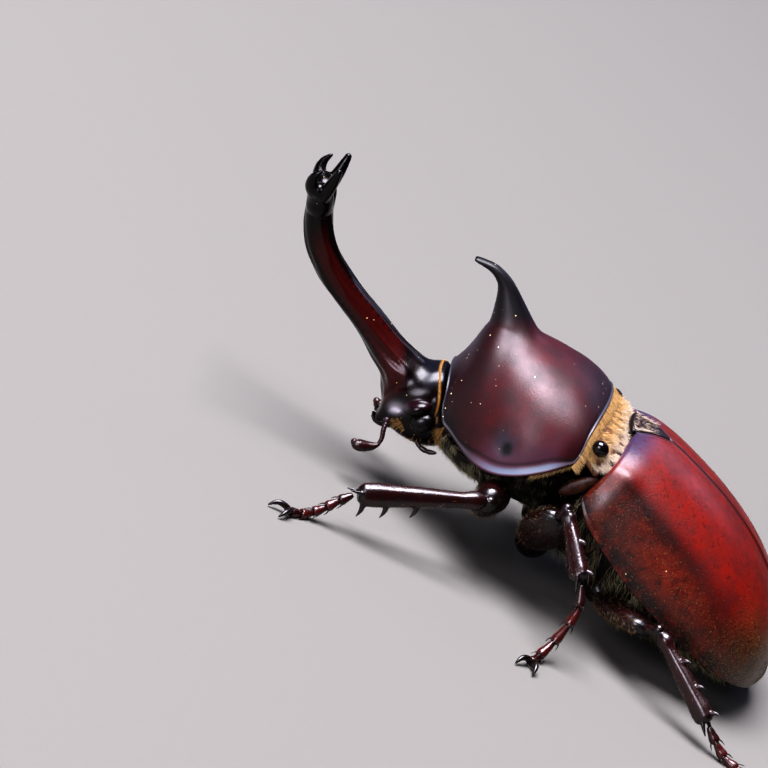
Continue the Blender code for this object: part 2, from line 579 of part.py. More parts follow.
def grow_teeth(bm, teeth, length):
    """Pull pointed teeth out of the faces along the outer edge of a tibia."""
    for part, height in teeth:
        face = max((f for f in bm.faces if len(f.verts) == 4),
                   key=lambda f: f.normal.x - 1.3 * abs(f.calc_center_median().z - part * length))
        middle = face.calc_center_median()
        for shrink in (0.62, 0.3):
            face = bmesh.ops.extrude_discrete_faces(bm, faces=[face])["faces"][0]
            middle = middle + Vector((0.5 * height, 0.0, 0.22 * height))
            old = face.calc_center_median()
            for vert in face.verts:
                vert.co = middle + (vert.co - old) * shrink


def make_tarsus(name, points, parent):
    """Five beaded foot joints on one path, flat where they stand on the ground."""
    sides, joints, steps = 6, 5, 60
    path = path_through([(*point, 0.0) for point in points], steps + 1)
    rows = []
    for joint in range(joints):
        for part, radius in FOOT_JOINT:
            row = path[int(round((joint + part) * steps / joints))].copy()
            row[3] = radius
            rows.append(row)
    rows.append(np.array((*path[-1, :3], FOOT_TIP_RADIUS)))
    rings = tube_rings(rows, sides, twist=0.0)
    base = Vector(points[0])
    ground = -base.z
    placed = [[Vector((p.x - base.x, p.y - base.y, max(p.z - base.z, ground))) for p in ring]
              for ring in rings]
    return add_object(name, rings_to_bmesh(placed), "leg_red", parent, location=base)


def make_claws(name, foot, ahead, parent):
    """Pair of curved claws as one piece: tip, root between the claws, other tip."""
    flat = Vector((ahead.x, ahead.y, 0.0)).normalized()
    out = Vector((-flat.y, flat.x, 0.0))
    rows = []
    one = [(-spread, *rest) for spread, *rest in reversed(CLAW)]
    for spread, reach, height, radius in one + [CLAW_ROOT] + list(CLAW):
        point = flat * reach + out * spread
        rows.append((point.x, point.y, height - foot.z, radius))
    bm = rings_to_bmesh(tube_rings(path_through(rows, 11), 6))
    return add_object(name, bm, "leg_red", parent, location=foot)


def make_leg(pair, side, parent, trunk):
    size = LEGS[pair]
    name = pair + ("_left" if side > 0 else "_right")
    hip = size["coxa"][0]

    def at(point):
        return posed(point, side, hip, size["turn_right"])

    def toward(vector):
        return at(Vector(hip) + Vector(vector)) - at(hip)

    for limb, finish, sides in LIMB_MAKE:
        start, end, broad, thick = size[limb]
        profile = [(part, b * broad, t * thick) for part, b, t in LIMB_PROFILES[limb]]
        out = size["breadth"]
        if limb == "tibia":
            out = size["teeth_toward"]
        bm, place, turn = limb_rings(at(start), at(end), profile, toward(out), sides)
        if limb == "tibia":
            bm.normal_update()
            grow_teeth(bm, size["teeth"], (at(end) - at(start)).length)
        add_object(limb + "_" + name, bm, finish, parent, place, turn)
        for host in trunk.get((pair, limb), ()):
            bm, place, turn = limb_rings(at(start), at(end), profile, toward(out), sides, GAP)
            cut_by(host, add_object(limb + "_room_" + name, bm, None, parent, place, turn))

    foot = [at(point) for point in size["tarsus"]]
    make_tarsus("tarsus_" + name, foot, parent)
    make_claws("claws_" + name, foot[-1], foot[-1] - foot[-2], parent)


# ---- assembly --------------------------------------------------------------------------------------

def centre_on_ground(root):
    """Shift the root so that the whole beetle's box is centred over the origin and stands on z = 0."""
    bpy.context.view_layer.update()
    graph = bpy.context.evaluated_depsgraph_get()
    low, high = np.full(3, np.inf), np.full(3, -np.inf)
    for obj in bpy.data.objects:
        if obj.type != "MESH" or obj.hide_render:
            continue
        evaluated = obj.evaluated_get(graph)
        mesh = evaluated.to_mesh()
        points = np.empty(len(mesh.vertices) * 3)
        mesh.vertices.foreach_get("co", points)
        turn = np.array(obj.matrix_world)
        points = points.reshape(-1, 3) @ turn[:3, :3].T + turn[:3, 3]
        low, high = np.minimum(low, points.min(axis=0)), np.maximum(high, points.max(axis=0))
        evaluated.to_mesh_clear()
    root.location = (-(low[0] + high[0]) / 2.0, -(low[1] + high[1]) / 2.0, -low[2])
    bpy.context.view_layer.update()


clear_scene()
MATERIALS = make_finishes()
root = frame("rhinoceros_beetle", None)
body = frame("body_frame", root, (0.0, 0.0, BODY_HEIGHT), -BODY_PITCH)
prothorax = frame("prothorax_frame", body, PROTHORAX_PIVOT, PROTHORAX_BEND)
head = frame("head_frame", body, HEAD_CENTRE, HEAD_BEND)

neck_room = [(-ahead, half + GAP, top + GAP, level, bottom - GAP)
             for ahead, half, top, level, bottom in HEAD]
neck_room.insert(0, (-HEAD[0][0] + GAP, *neck_room[0][1:]))
neck = body_loft("neck_clearance", neck_room[:5], 16, (2.2, 2.0), None, head)
make_pronotum(prothorax, neck)
make_thoracic_horn(prothorax)
prosternum = body_loft("prosternum", PROSTERNUM, 18, (2.0, 1.25), "belly_brown", body)
cut_by(prosternum, neck)

skull = body_loft("head", [(-ahead, *rest) for ahead, *rest in HEAD], 16, (2.6, 2.0), "horn_black", head)
make_head_horn("head_horn_lower", HEAD_HORN_LOWER, body)
make_head_horn("head_horn_upper", HEAD_HORN_UPPER, body)
for side, name in ((1, "left"), (-1, "right")):
    make_fork_arm(side, "head_horn_fork_" + name, body)
    eye_at = (side * EYE_PLACE[0], EYE_PLACE[1], EYE_PLACE[2])
    make_ellipsoid("eye_" + name, EYE_RADII, "eye_black", head, eye_at)
    cut_by(skull, make_ellipsoid("eye_socket_" + name, [r + GAP for r in EYE_RADII], None, head, eye_at))
    make_feeler(side, body)
    make_mouthparts(side, body)
    make_elytron(side, "elytron_" + name, body)

mesothorax = body_loft("mesothorax", MESOTHORAX, 16, (2.4, 1.6), "shell_maroon", body)
cut_by(mesothorax, pronotum_room(prothorax))
make_scutellum(body)
metathorax = body_loft("metathorax", METATHORAX, 20, (2.4, 1.3), "belly_brown", body)
abdomen = body_loft("abdomen", ABDOMEN, 20, (2.4, 1.8), "belly_brown", body)
body_loft("pygidium", PYGIDIUM, 16, (2.2, 2.0), "belly_brown", body)

# Trunk plates that make room for each limb part.
trunk = {("front", "coxa"): (prosternum,), ("middle", "coxa"): (prosternum, metathorax),
         ("hind", "coxa"): (metathorax,), ("hind", "femur"): (metathorax, abdomen)}
for pair in LEGS:
    for side in (1, -1):
        make_leg(pair, side, root, trunk)

centre_on_ground(root)
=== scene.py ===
import math
import bpy
import numpy as np
from mathutils import Matrix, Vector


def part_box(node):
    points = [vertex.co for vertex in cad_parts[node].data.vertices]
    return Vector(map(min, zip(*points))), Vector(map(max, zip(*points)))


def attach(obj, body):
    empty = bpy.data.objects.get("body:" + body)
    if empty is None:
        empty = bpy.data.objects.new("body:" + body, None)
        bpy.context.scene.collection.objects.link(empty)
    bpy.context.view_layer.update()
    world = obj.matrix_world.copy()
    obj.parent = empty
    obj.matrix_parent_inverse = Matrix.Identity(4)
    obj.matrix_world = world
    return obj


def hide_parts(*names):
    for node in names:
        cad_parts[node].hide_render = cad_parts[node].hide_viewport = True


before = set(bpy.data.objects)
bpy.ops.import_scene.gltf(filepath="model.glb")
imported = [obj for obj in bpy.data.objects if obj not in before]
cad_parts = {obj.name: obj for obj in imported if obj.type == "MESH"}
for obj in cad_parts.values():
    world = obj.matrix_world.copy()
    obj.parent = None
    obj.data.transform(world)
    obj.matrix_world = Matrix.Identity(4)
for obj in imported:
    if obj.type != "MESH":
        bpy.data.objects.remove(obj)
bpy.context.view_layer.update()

millimetre = 0.001
tau = 2.0 * math.pi
dice = np.random.default_rng(20)              # every random draw comes from this one, in order

# Rhinoceros beetle, a large male, standing on its feet. Shapes are worked out in millimetres.
# Each part of the body has its own frame: x to the left, y backwards, z up, turned about x.
posture = {
    "pitch": 16.0,                            # the trunk leans head up by this much, degrees
    "height": 20.8,                           # height of the scutellum's tip over the ground
    "prothoraxBend": 30.0,
    "prothoraxPivot": (0.0, -8.0, -1.35),
    "headBend": 55.0,
    "headCentre": (0.0, -22.8, -16.7),
    "eye": (4.4, 1.0, -2.9),                  # left eye's centre in the head's frame
}


# helpers that every piece uses

# turnAboutX: the 3 by 3 matrix that turns by an angle about x
def turnAboutX(degrees):
    c, s = math.cos(math.radians(degrees)), math.sin(math.radians(degrees))
    return np.array(((1.0, 0.0, 0.0), (0.0, c, -s), (0.0, s, c)))


# partFrames: for each part its turn and its origin, so that world = turn * local + origin; all are shifted
# alike, so that the left eye's centre is that of the frame's left eye
def partFrames():
    trunk = turnAboutX(-posture["pitch"])
    origin = np.array((0.0, 0.0, posture["height"]))
    prothorax = trunk @ turnAboutX(posture["prothoraxBend"])
    head = trunk @ turnAboutX(posture["headBend"])
    made = {"ground": (np.eye(3), np.zeros(3)), "body": (trunk, origin),
            "prothorax": (prothorax, trunk @ np.array(posture["prothoraxPivot"]) + origin),
            "head": (head, trunk @ np.array(posture["headCentre"]) + origin)}
    low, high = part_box("eye_left")
    eyeNow = (np.array(low) + np.array(high)) / 2.0 / millimetre
    shift = eyeNow - (head @ np.array(posture["eye"]) + made["head"][1])
    return {name: (turn, origin + shift) for name, (turn, origin) in made.items()}


frames = partFrames()


# placed: points of a part's own frame carried to the world, in mm
def placed(points, part):
    turn, origin = frames[part]
    return np.asarray(points, dtype=float) @ turn.T + origin


# local: the way back, world points in mm to a part's own frame
def local(points, part):
    turn, origin = frames[part]
    return (points - origin) @ turn


# smoothThrough: cubic pieces through (x, value...) stations, their slopes taken from their neighbours, then
# a Gaussian mean with blur as its sigma; values are read back between fine steps
def smoothThrough(stations, blur=0.0):
    table = np.array(stations, dtype=float)
    x, values = table[:, 0], table[:, 1:]
    slopes = np.gradient(values, x, axis=0)
    fine = np.linspace(x[0], x[-1], 1500)
    i = np.clip(np.searchsorted(x, fine, side="right") - 1, 0, len(x) - 2)
    span = x[i + 1] - x[i]
    t = ((fine - x[i]) / span)[:, None]
    span = span[:, None]
    curve = (values[i] * (1 + 2 * t) * (1 - t) ** 2 + slopes[i] * span * t * (1 - t) ** 2
             + values[i + 1] * t * t * (3 - 2 * t) + slopes[i + 1] * span * t * t * (t - 1))
    reach = int(3.0 * blur / (fine[1] - fine[0]))
    if reach > 1:
        weight = np.exp(-0.5 * (np.arange(-reach, reach + 1) * 3.0 / reach) ** 2)
        weight /= weight.sum()
        before = 2.0 * curve[:1] - curve[reach:0:-1]
        after = 2.0 * curve[-1:] - curve[-2:-reach - 2:-1]
        padded = np.vstack([before, curve, after])
        curve = np.stack([np.convolve(column, weight, "valid") for column in padded.T], axis=1)

    def valueAt(at):
        at = np.asarray(at, dtype=float)
        return np.stack([np.interp(at, fine, column) for column in curve.T], axis=-1)
    return valueAt


# scalarThrough: the smooth curve through (x, value) stations as a plain function of x
def scalarThrough(stations, blur=0.0):
    curve = smoothThrough(stations, blur)
    return lambda at: curve(at)[..., 0]


# runAlong: distance run along a line of points, 0 at its first
def runAlong(points):
    return np.concatenate([[0.0], np.cumsum(np.linalg.norm(np.diff(points, axis=0), axis=1))])


# alongPath: evenly stepped points of the smooth path through stations, each with its other values; the path
# is blurred by a twentieth of its length
def alongPath(points, steps):
    points = np.array(points, dtype=float)
    along = runAlong(points[:, :3])
    curve = smoothThrough(np.column_stack([along, points]), 0.05 * along[-1])
    return curve(np.linspace(0.0, along[-1], steps))


# around: even steps once round a circle, in radians
def around(count):
    return np.arange(count) * tau / count


# crossed: every pair of two runs of values, as two grids
def crossed(rows, columns):
    return np.meshgrid(rows, columns, indexing="ij")


# bump: a hill of height 1 at the middle: e to the minus square of the distance from it over the width
def bump(value, middle, width):
    return np.exp(-((value - middle) / width) ** 2)


# stepUp: 0 at start and 1 at end, 3 t squared less 2 t cubed between; a start above the end turns it round
def stepUp(value, start, end):
    t = np.clip((value - start) / (end - start), 0.0, 1.0)
    return t * t * (3.0 - 2.0 * t)


# powered: the signed power 2 over roundness, which turns a circle's sine into a superellipse's
def powered(value, roundness):
    return np.sign(value) * np.abs(value) ** (2.0 / roundness)


# ringSkin: faces of a stack of closed rings, with a fan to a pole point at each end
def ringSkin(rings):
    rings = np.asarray(rings, dtype=float)
    rows, columns = rings.shape[:2]
    poles = np.stack([rings[0].mean(axis=0), rings[-1].mean(axis=0)])
    points = np.vstack([rings.reshape(-1, 3), poles])
    here = np.arange(rows * columns).reshape(rows, columns)
    beside = np.roll(here, -1, axis=1)
    quads = np.stack([here[:-1], beside[:-1], beside[1:], here[1:]], axis=-1).reshape(-1, 4)
    first, last = rows * columns, rows * columns + 1
    fans = np.vstack([np.stack([beside[0], here[0], np.full(columns, first)], axis=-1),
                      np.stack([here[-1], beside[-1], np.full(columns, last)], axis=-1)])
    return outward(points, quads, fans)


# outward: the same faces, turned over where the signed volume inside them is negative
def outward(points, quads, fans):
    triangles = np.vstack([quads[:, (0, 1, 2)], quads[:, (0, 2, 3)], fans])
    a, b, c = (points[triangles[:, k]] - points.mean(axis=0) for k in range(3))
    if np.einsum("ij,ij->", a, np.cross(b, c)) < 0.0:
        quads, fans = quads[:, ::-1], fans[:, ::-1]
    return points, quads, fans


# carried: a skin whose points are in a part's own frame, with its points carried to the world
def carried(skin, part):
    return (placed(skin[0], part),) + skin[1:]


# joined: several skins as one set of points and faces
def joined(skins):
    starts = np.cumsum([0] + [len(points) for points, quads, fans in skins[:-1]])
    return (np.vstack([points for points, quads, fans in skins]),
            np.vstack([quads + start for (points, quads, fans), start in zip(skins, starts)]),
            np.vstack([fans + start for (points, quads, fans), start in zip(skins, starts)]))


# meshOf: a mesh from arrays of points, four-sided faces and triangles, with values on its points
def meshOf(name, skin, scale, marks):
    points, quads, fans = skin
    mesh = bpy.data.meshes.new(name)
    mesh.vertices.add(len(points))
    mesh.vertices.foreach_set("co", (points * scale).astype(np.float32).ravel())
    mesh.loops.add(quads.size + fans.size)
    mesh.loops.foreach_set("vertex_index", np.concatenate([quads.ravel(), fans.ravel()]).astype(np.int32))
    mesh.polygons.add(len(quads) + len(fans))
    sizes = np.concatenate([np.full(len(quads), 4), np.full(len(fans), 3)]).astype(np.int32)
    mesh.polygons.foreach_set("loop_start", np.concatenate([[0], np.cumsum(sizes)[:-1]]).astype(np.int32))
    mesh.update(calc_edges=True)
    mesh.validate()
    for mark, values in marks.items():
        layer = mesh.attributes.new(mark, "FLOAT", "POINT")
        layer.data.foreach_set("value", np.asarray(values, dtype=np.float32))
    mesh.shade_smooth()
    return mesh


# addPiece: a finished piece at the origin that rides on the body and stands for CAD nodes
def addPiece(name, skin, finish, stands=(), marks=None):
    piece = bpy.data.objects.new(name, meshOf(name, skin, millimetre, marks or {}))
    bpy.context.scene.collection.objects.link(piece)
    piece.data.materials.append(finish)
    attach(piece, "root")
    if stands:
        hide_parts(*stands)
    return piece


# fused: overlapping closed skins melted into one by a fine voxel remesh and a few rounds of smoothing
def fused(skins, voxel, rounds):
    mesh = meshOf("fusing", joined(skins), 1.0, {})
    lump = bpy.data.objects.new("fusing", mesh)
    bpy.context.scene.collection.objects.link(lump)
    remesh = lump.modifiers.new("remesh", "REMESH")
    remesh.mode = "VOXEL"
    remesh.voxel_size = voxel
    relax = lump.modifiers.new("relax", "SMOOTH")
    relax.factor = 0.5
    relax.iterations = rounds
    bpy.context.view_layer.update()
    done = lump.evaluated_get(bpy.context.evaluated_depsgraph_get()).to_mesh()
    points = np.empty(len(done.vertices) * 3)
    done.vertices.foreach_get("co", points)
    corners = np.empty(len(done.loops), dtype=np.int32)
    done.loops.foreach_get("vertex_index", corners)
    sizes = np.empty(len(done.polygons), dtype=np.int32)
    done.polygons.foreach_get("loop_total", sizes)
    starts = np.concatenate([[0], np.cumsum(sizes)[:-1]])
    quads = corners[starts[sizes == 4][:, None] + np.arange(4)]
    fans = corners[starts[sizes == 3][:, None] + np.arange(3)]
    bpy.data.objects.remove(lump)
    return points.reshape(-1, 3), quads, fans.reshape(-1, 3)


# easedNear: points near a line across a part's frame (its y and z given) drawn to their neighbours' mean,
# over and over, by a share that falls off as a bell of the given width
def easedNear(skin, part, line, width, rounds):
    points, quads, fans = skin
    inPart = local(points, part)
    share = bump(np.hypot(inPart[:, 1] - line[0], inPart[:, 2] - line[1]), 0.0, width)
    edges = np.concatenate([quads[:, (0, 1)], quads[:, (1, 2)], quads[:, (2, 3)], quads[:, (3, 0)],
                            fans[:, (0, 1)], fans[:, (1, 2)], fans[:, (2, 0)]])
    edges = edges[(share[edges] > 0.01).any(axis=1)]
    here, there = np.concatenate([edges, edges[:, ::-1]]).T
    near = np.flatnonzero(share > 0.01)
    count = np.bincount(here, minlength=len(points))[near, None]
    points = points.copy()
    for repeat in range(rounds):
        total = np.stack([np.bincount(here, points[there, k], len(points)) for k in range(3)], axis=-1)[near]
        points[near] += share[near, None] * (total / count - points[near])
    return points, quads, fans


# tube: rings carried along a path of (x, y, z, thickness, width) rows, square to it; the width
# keeps to the direction given by across
def tube(path, sides, across=(0.0, 0.0, 1.0), squareness=2.0):
    path = np.asarray(path, dtype=float)
    centres = path[:, :3]
    ahead = np.gradient(centres, axis=0)
    ahead /= np.linalg.norm(ahead, axis=1)[:, None]
    side = np.broadcast_to(np.array(across, dtype=float), centres.shape)
    side = side - (side * ahead).sum(axis=1)[:, None] * ahead
    side /= np.linalg.norm(side, axis=1)[:, None]
    lift = np.cross(ahead, side)
    angle = around(sides)
    c, s = powered(np.cos(angle), squareness), powered(np.sin(angle), squareness)
    return (centres[:, None] + side[:, None] * (path[:, -1, None] * c)[:, :, None]
            + lift[:, None] * (path[:, 3, None] * s)[:, :, None])


# capped: a path whose two ends are drawn out and in as half a ball of their own thickness: out by the sine
# of a quarter turn's steps, in by its cosine
def capped(path, rows=6):
    path = np.asarray(path, dtype=float)
    t = np.sin(np.linspace(0.0, 1.0, rows + 1)[1:] * math.pi / 2.0 * 0.98)
    ends = []
    for tip, inner in ((path[0], path[1]), (path[-1], path[-2])):
        way = (tip[:3] - inner[:3]) / np.linalg.norm(tip[:3] - inner[:3])
        added = np.tile(tip, (rows, 1))
        added[:, :3] += way * (t * tip[3:].min())[:, None]
        added[:, 3:] *= np.sqrt(1.0 - t ** 2)[:, None]
        ends.append(added)
    return np.vstack([ends[0][::-1], path, ends[1]])


# ball: rings of an ellipsoid with three radii, turned by a matrix and set at its centre
def ball(centre, radii, turn=None, rows=24, columns=32):
    u = around(columns)
    v = np.linspace(0.04, math.pi - 0.04, rows)[:, None]
    points = np.stack([np.sin(v) * np.cos(u), np.sin(v) * np.sin(u), np.cos(v) * np.ones_like(u)], axis=-1)
    points = points * np.array(radii)
    if turn is not None:
        points = points @ np.asarray(turn).T
    return points + np.array(centre)


# linearColour: an sRGB hex value as the linear colour that shaders use
def linearColour(hexValue):
    channels = [int(hexValue[k:k + 2], 16) / 255.0 for k in (1, 3, 5)]
    return tuple(c / 12.92 if c <= 0.04045 else ((c + 0.055) / 1.055) ** 2.4 for c in channels) + (1.0,)


# addNode: one shader node, its properties and sockets set from a dictionary and its inputs linked
def addNode(tree, kind, settings=None, links=None):
    made = tree.nodes.new(kind)
    for key, value in (settings or {}).items():
        if key == "stops":
            ramp = made.color_ramp
            while len(ramp.elements) < len(value):
                ramp.elements.new(0.5)
            for element, (position, colour) in zip(ramp.elements, value):
                element.position = position
                element.color = linearColour(colour) if isinstance(colour, str) else (colour,) * 3 + (1.0,)
        elif isinstance(key, int) or key in made.inputs:
            made.inputs[key].default_value = linearColour(value) if isinstance(value, str) else value
        else:
            setattr(made, key, value)
    for key, source in (links or {}).items():
        tree.links.new(source, made.inputs[key])
    return made


print("frame loaded, helpers ready")


# materials

# reliefKinds: texture, its settings, the span of its values that becomes heights 0 to 1, and by which curve
reliefKinds = {
    "pits": ("ShaderNodeTexVoronoi", {"Randomness": 0.9}, (0.08, 0.42), "SMOOTHSTEP"),
    "facets": ("ShaderNodeTexVoronoi", {"Randomness": 0.25}, (0.6, 0.0), "LINEAR"),
    "wrinkles": ("ShaderNodeTexNoise", {"Detail": 3.0, "Roughness": 0.6, "Distortion": 1.4}, (0.35, 0.65),
                 "LINEAR"),
    "grain": ("ShaderNodeTexNoise", {"Detail": 6.0, "Roughness": 0.7}, None, None),
}


# cuticle: horn-like shell. The base is mottled by noise, then each zone's colour is laid over it by its mask,
# flecks where a noise passes a level, and dust as dots of a radius round scattered points. Roughness wanders
# between two values. The relief's heights, in mm, are added as bumps, and fade out where it is polished
def cuticle(name, look):
    made = bpy.data.materials.new(name)
    made.use_nodes = True
    tree = made.node_tree
    tree.nodes.clear()
    where = addNode(tree, "ShaderNodeTexCoord").outputs["Object"]
    inMillimetres = addNode(tree, "ShaderNodeMapping", {"Scale": (1000.0,) * 3}, {"Vector": where}).outputs[0]
    blotch = addNode(tree, "ShaderNodeTexNoise", {"Scale": 1.0 / look["mottleSize"], "Detail": 5.0,
                                                  "Roughness": 0.62}, {"Vector": inMillimetres}).outputs[0]
    spread = addNode(tree, "ShaderNodeMapRange", {"From Min": 0.36, "From Max": 0.66},
                     {"Value": blotch}).outputs[0]
    colour = addNode(tree, "ShaderNodeMix", {"data_type": "RGBA", 6: look["base"], 7: look["mottle"]},
                     {0: spread}).outputs[2]
    layers = [(paint, addNode(tree, "ShaderNodeAttribute", {"attribute_name": mask}).outputs["Fac"])
              for mask, paint in look.get("zones", ())]
    specks = []
    for paint, size, start, end, mask in look.get("flecks", ()):
        grains = addNode(tree, "ShaderNodeTexNoise", {"Scale": 1.0 / size, "Detail": 3.0, "Roughness": 0.7},
                         {"Vector": inMillimetres})
        specks.append((paint, grains, start, end, mask))
    for paint, size, radius, mask in look.get("dust", ()):
        motes = addNode(tree, "ShaderNodeTexVoronoi", {"Scale": 1.0 / size}, {"Vector": inMillimetres})
        specks.append((paint, motes, radius / size, 0.6 * radius / size, mask))
    for paint, pattern, start, end, mask in specks:
        amount = addNode(tree, "ShaderNodeMapRange", {"From Min": start, "From Max": end},
                         {"Value": pattern.outputs[0]}).outputs[0]
        if mask:
            only = addNode(tree, "ShaderNodeAttribute", {"attribute_name": mask}).outputs["Fac"]
            amount = addNode(tree, "ShaderNodeMath", {"operation": "MULTIPLY"},
                             {0: amount, 1: only}).outputs[0]
        layers.append((paint, amount))
    for paint, amount in layers:
        colour = addNode(tree, "ShaderNodeMix", {"data_type": "RGBA", 7: paint},
                         {0: amount, 6: colour}).outputs[2]
    low, high = look["roughness"]
    rough = addNode(tree, "ShaderNodeMapRange", {"From Min": 0.3, "From Max": 0.7, "To Min": low,
                                                 "To Max": high}, {"Value": blotch}).outputs[0]
    normal = None
    for kind, size, depth in look["relief"]:
        texture, settings, span, curve = reliefKinds[kind]
        height = addNode(tree, texture, {"Scale": 1.0 / size, **settings},
                         {"Vector": inMillimetres}).outputs[0]
        if span:
            height = addNode(tree, "ShaderNodeMapRange", {"From Min": span[0], "From Max": span[1],
                                                          "interpolation_type": curve},
                             {"Value": height}).outputs[0]
        if "polished" in look:
            bare = addNode(tree, "ShaderNodeAttribute", {"attribute_name": look["polished"]}).outputs["Fac"]
            left = addNode(tree, "ShaderNodeMath", {"operation": "SUBTRACT", 0: 1.0}, {1: bare}).outputs[0]
            height = addNode(tree, "ShaderNodeMath", {"operation": "MULTIPLY"},
                             {0: height, 1: left}).outputs[0]
        links = {"Height": height}
        if normal:
            links["Normal"] = normal
        normal = addNode(tree, "ShaderNodeBump", {"Strength": 1.0, "Distance": depth * millimetre},
                         links).outputs[0]
    settings = {"IOR": 1.5, "Specular IOR Level": look.get("specular", 0.5),
                "Coat Weight": look.get("coat", 0.0), "Coat Roughness": look.get("coatRoughness", 0.2)}
    if "sheen" in look:
        settings.update({"Sheen Weight": look["sheen"][0], "Sheen Tint": look["sheen"][1],
                         "Sheen Roughness": 0.4})
    shader = addNode(tree, "ShaderNodeBsdfPrincipled", settings,
                     {"Base Color": colour, "Roughness": rough, "Normal": normal})
    addNode(tree, "ShaderNodeOutputMaterial", {}, {"Surface": shader.outputs[0]})
    return made


# pile: hair. Root colour runs to tip colour along the hair, each hair is drawn toward the stray colour by its
# own shade, and a share of the light comes through
def pile(name, look):
    made = bpy.data.materials.new(name)
    made.use_nodes = True
    tree = made.node_tree
    tree.nodes.clear()
    along = addNode(tree, "ShaderNodeAttribute", {"attribute_name": "along"}).outputs["Fac"]
    shade = addNode(tree, "ShaderNodeAttribute", {"attribute_name": "shade"}).outputs["Fac"]
    length = addNode(tree, "ShaderNodeValToRGB", {"stops": ((0.0, look["root"]), (1.0, look["tip"]))},
                     {"Fac": along}).outputs[0]
    varied = addNode(tree, "ShaderNodeMix", {"data_type": "RGBA", 7: look["stray"]},
                     {0: shade, 6: length}).outputs[2]
    shader = addNode(tree, "ShaderNodeBsdfPrincipled", {"IOR": 1.55, "Roughness": look["roughness"],
                                                        "Sheen Weight": 0.3, "Sheen Roughness": 0.4},
                     {"Base Color": varied})
    glow = addNode(tree, "ShaderNodeBsdfTranslucent", {}, {"Color": varied})
    both = addNode(tree, "ShaderNodeMixShader", {0: look["through"]},
                   {1: shader.outputs[0], 2: glow.outputs[0]})
    addNode(tree, "ShaderNodeOutputMaterial", {}, {"Surface": both.outputs[0]})
    return made


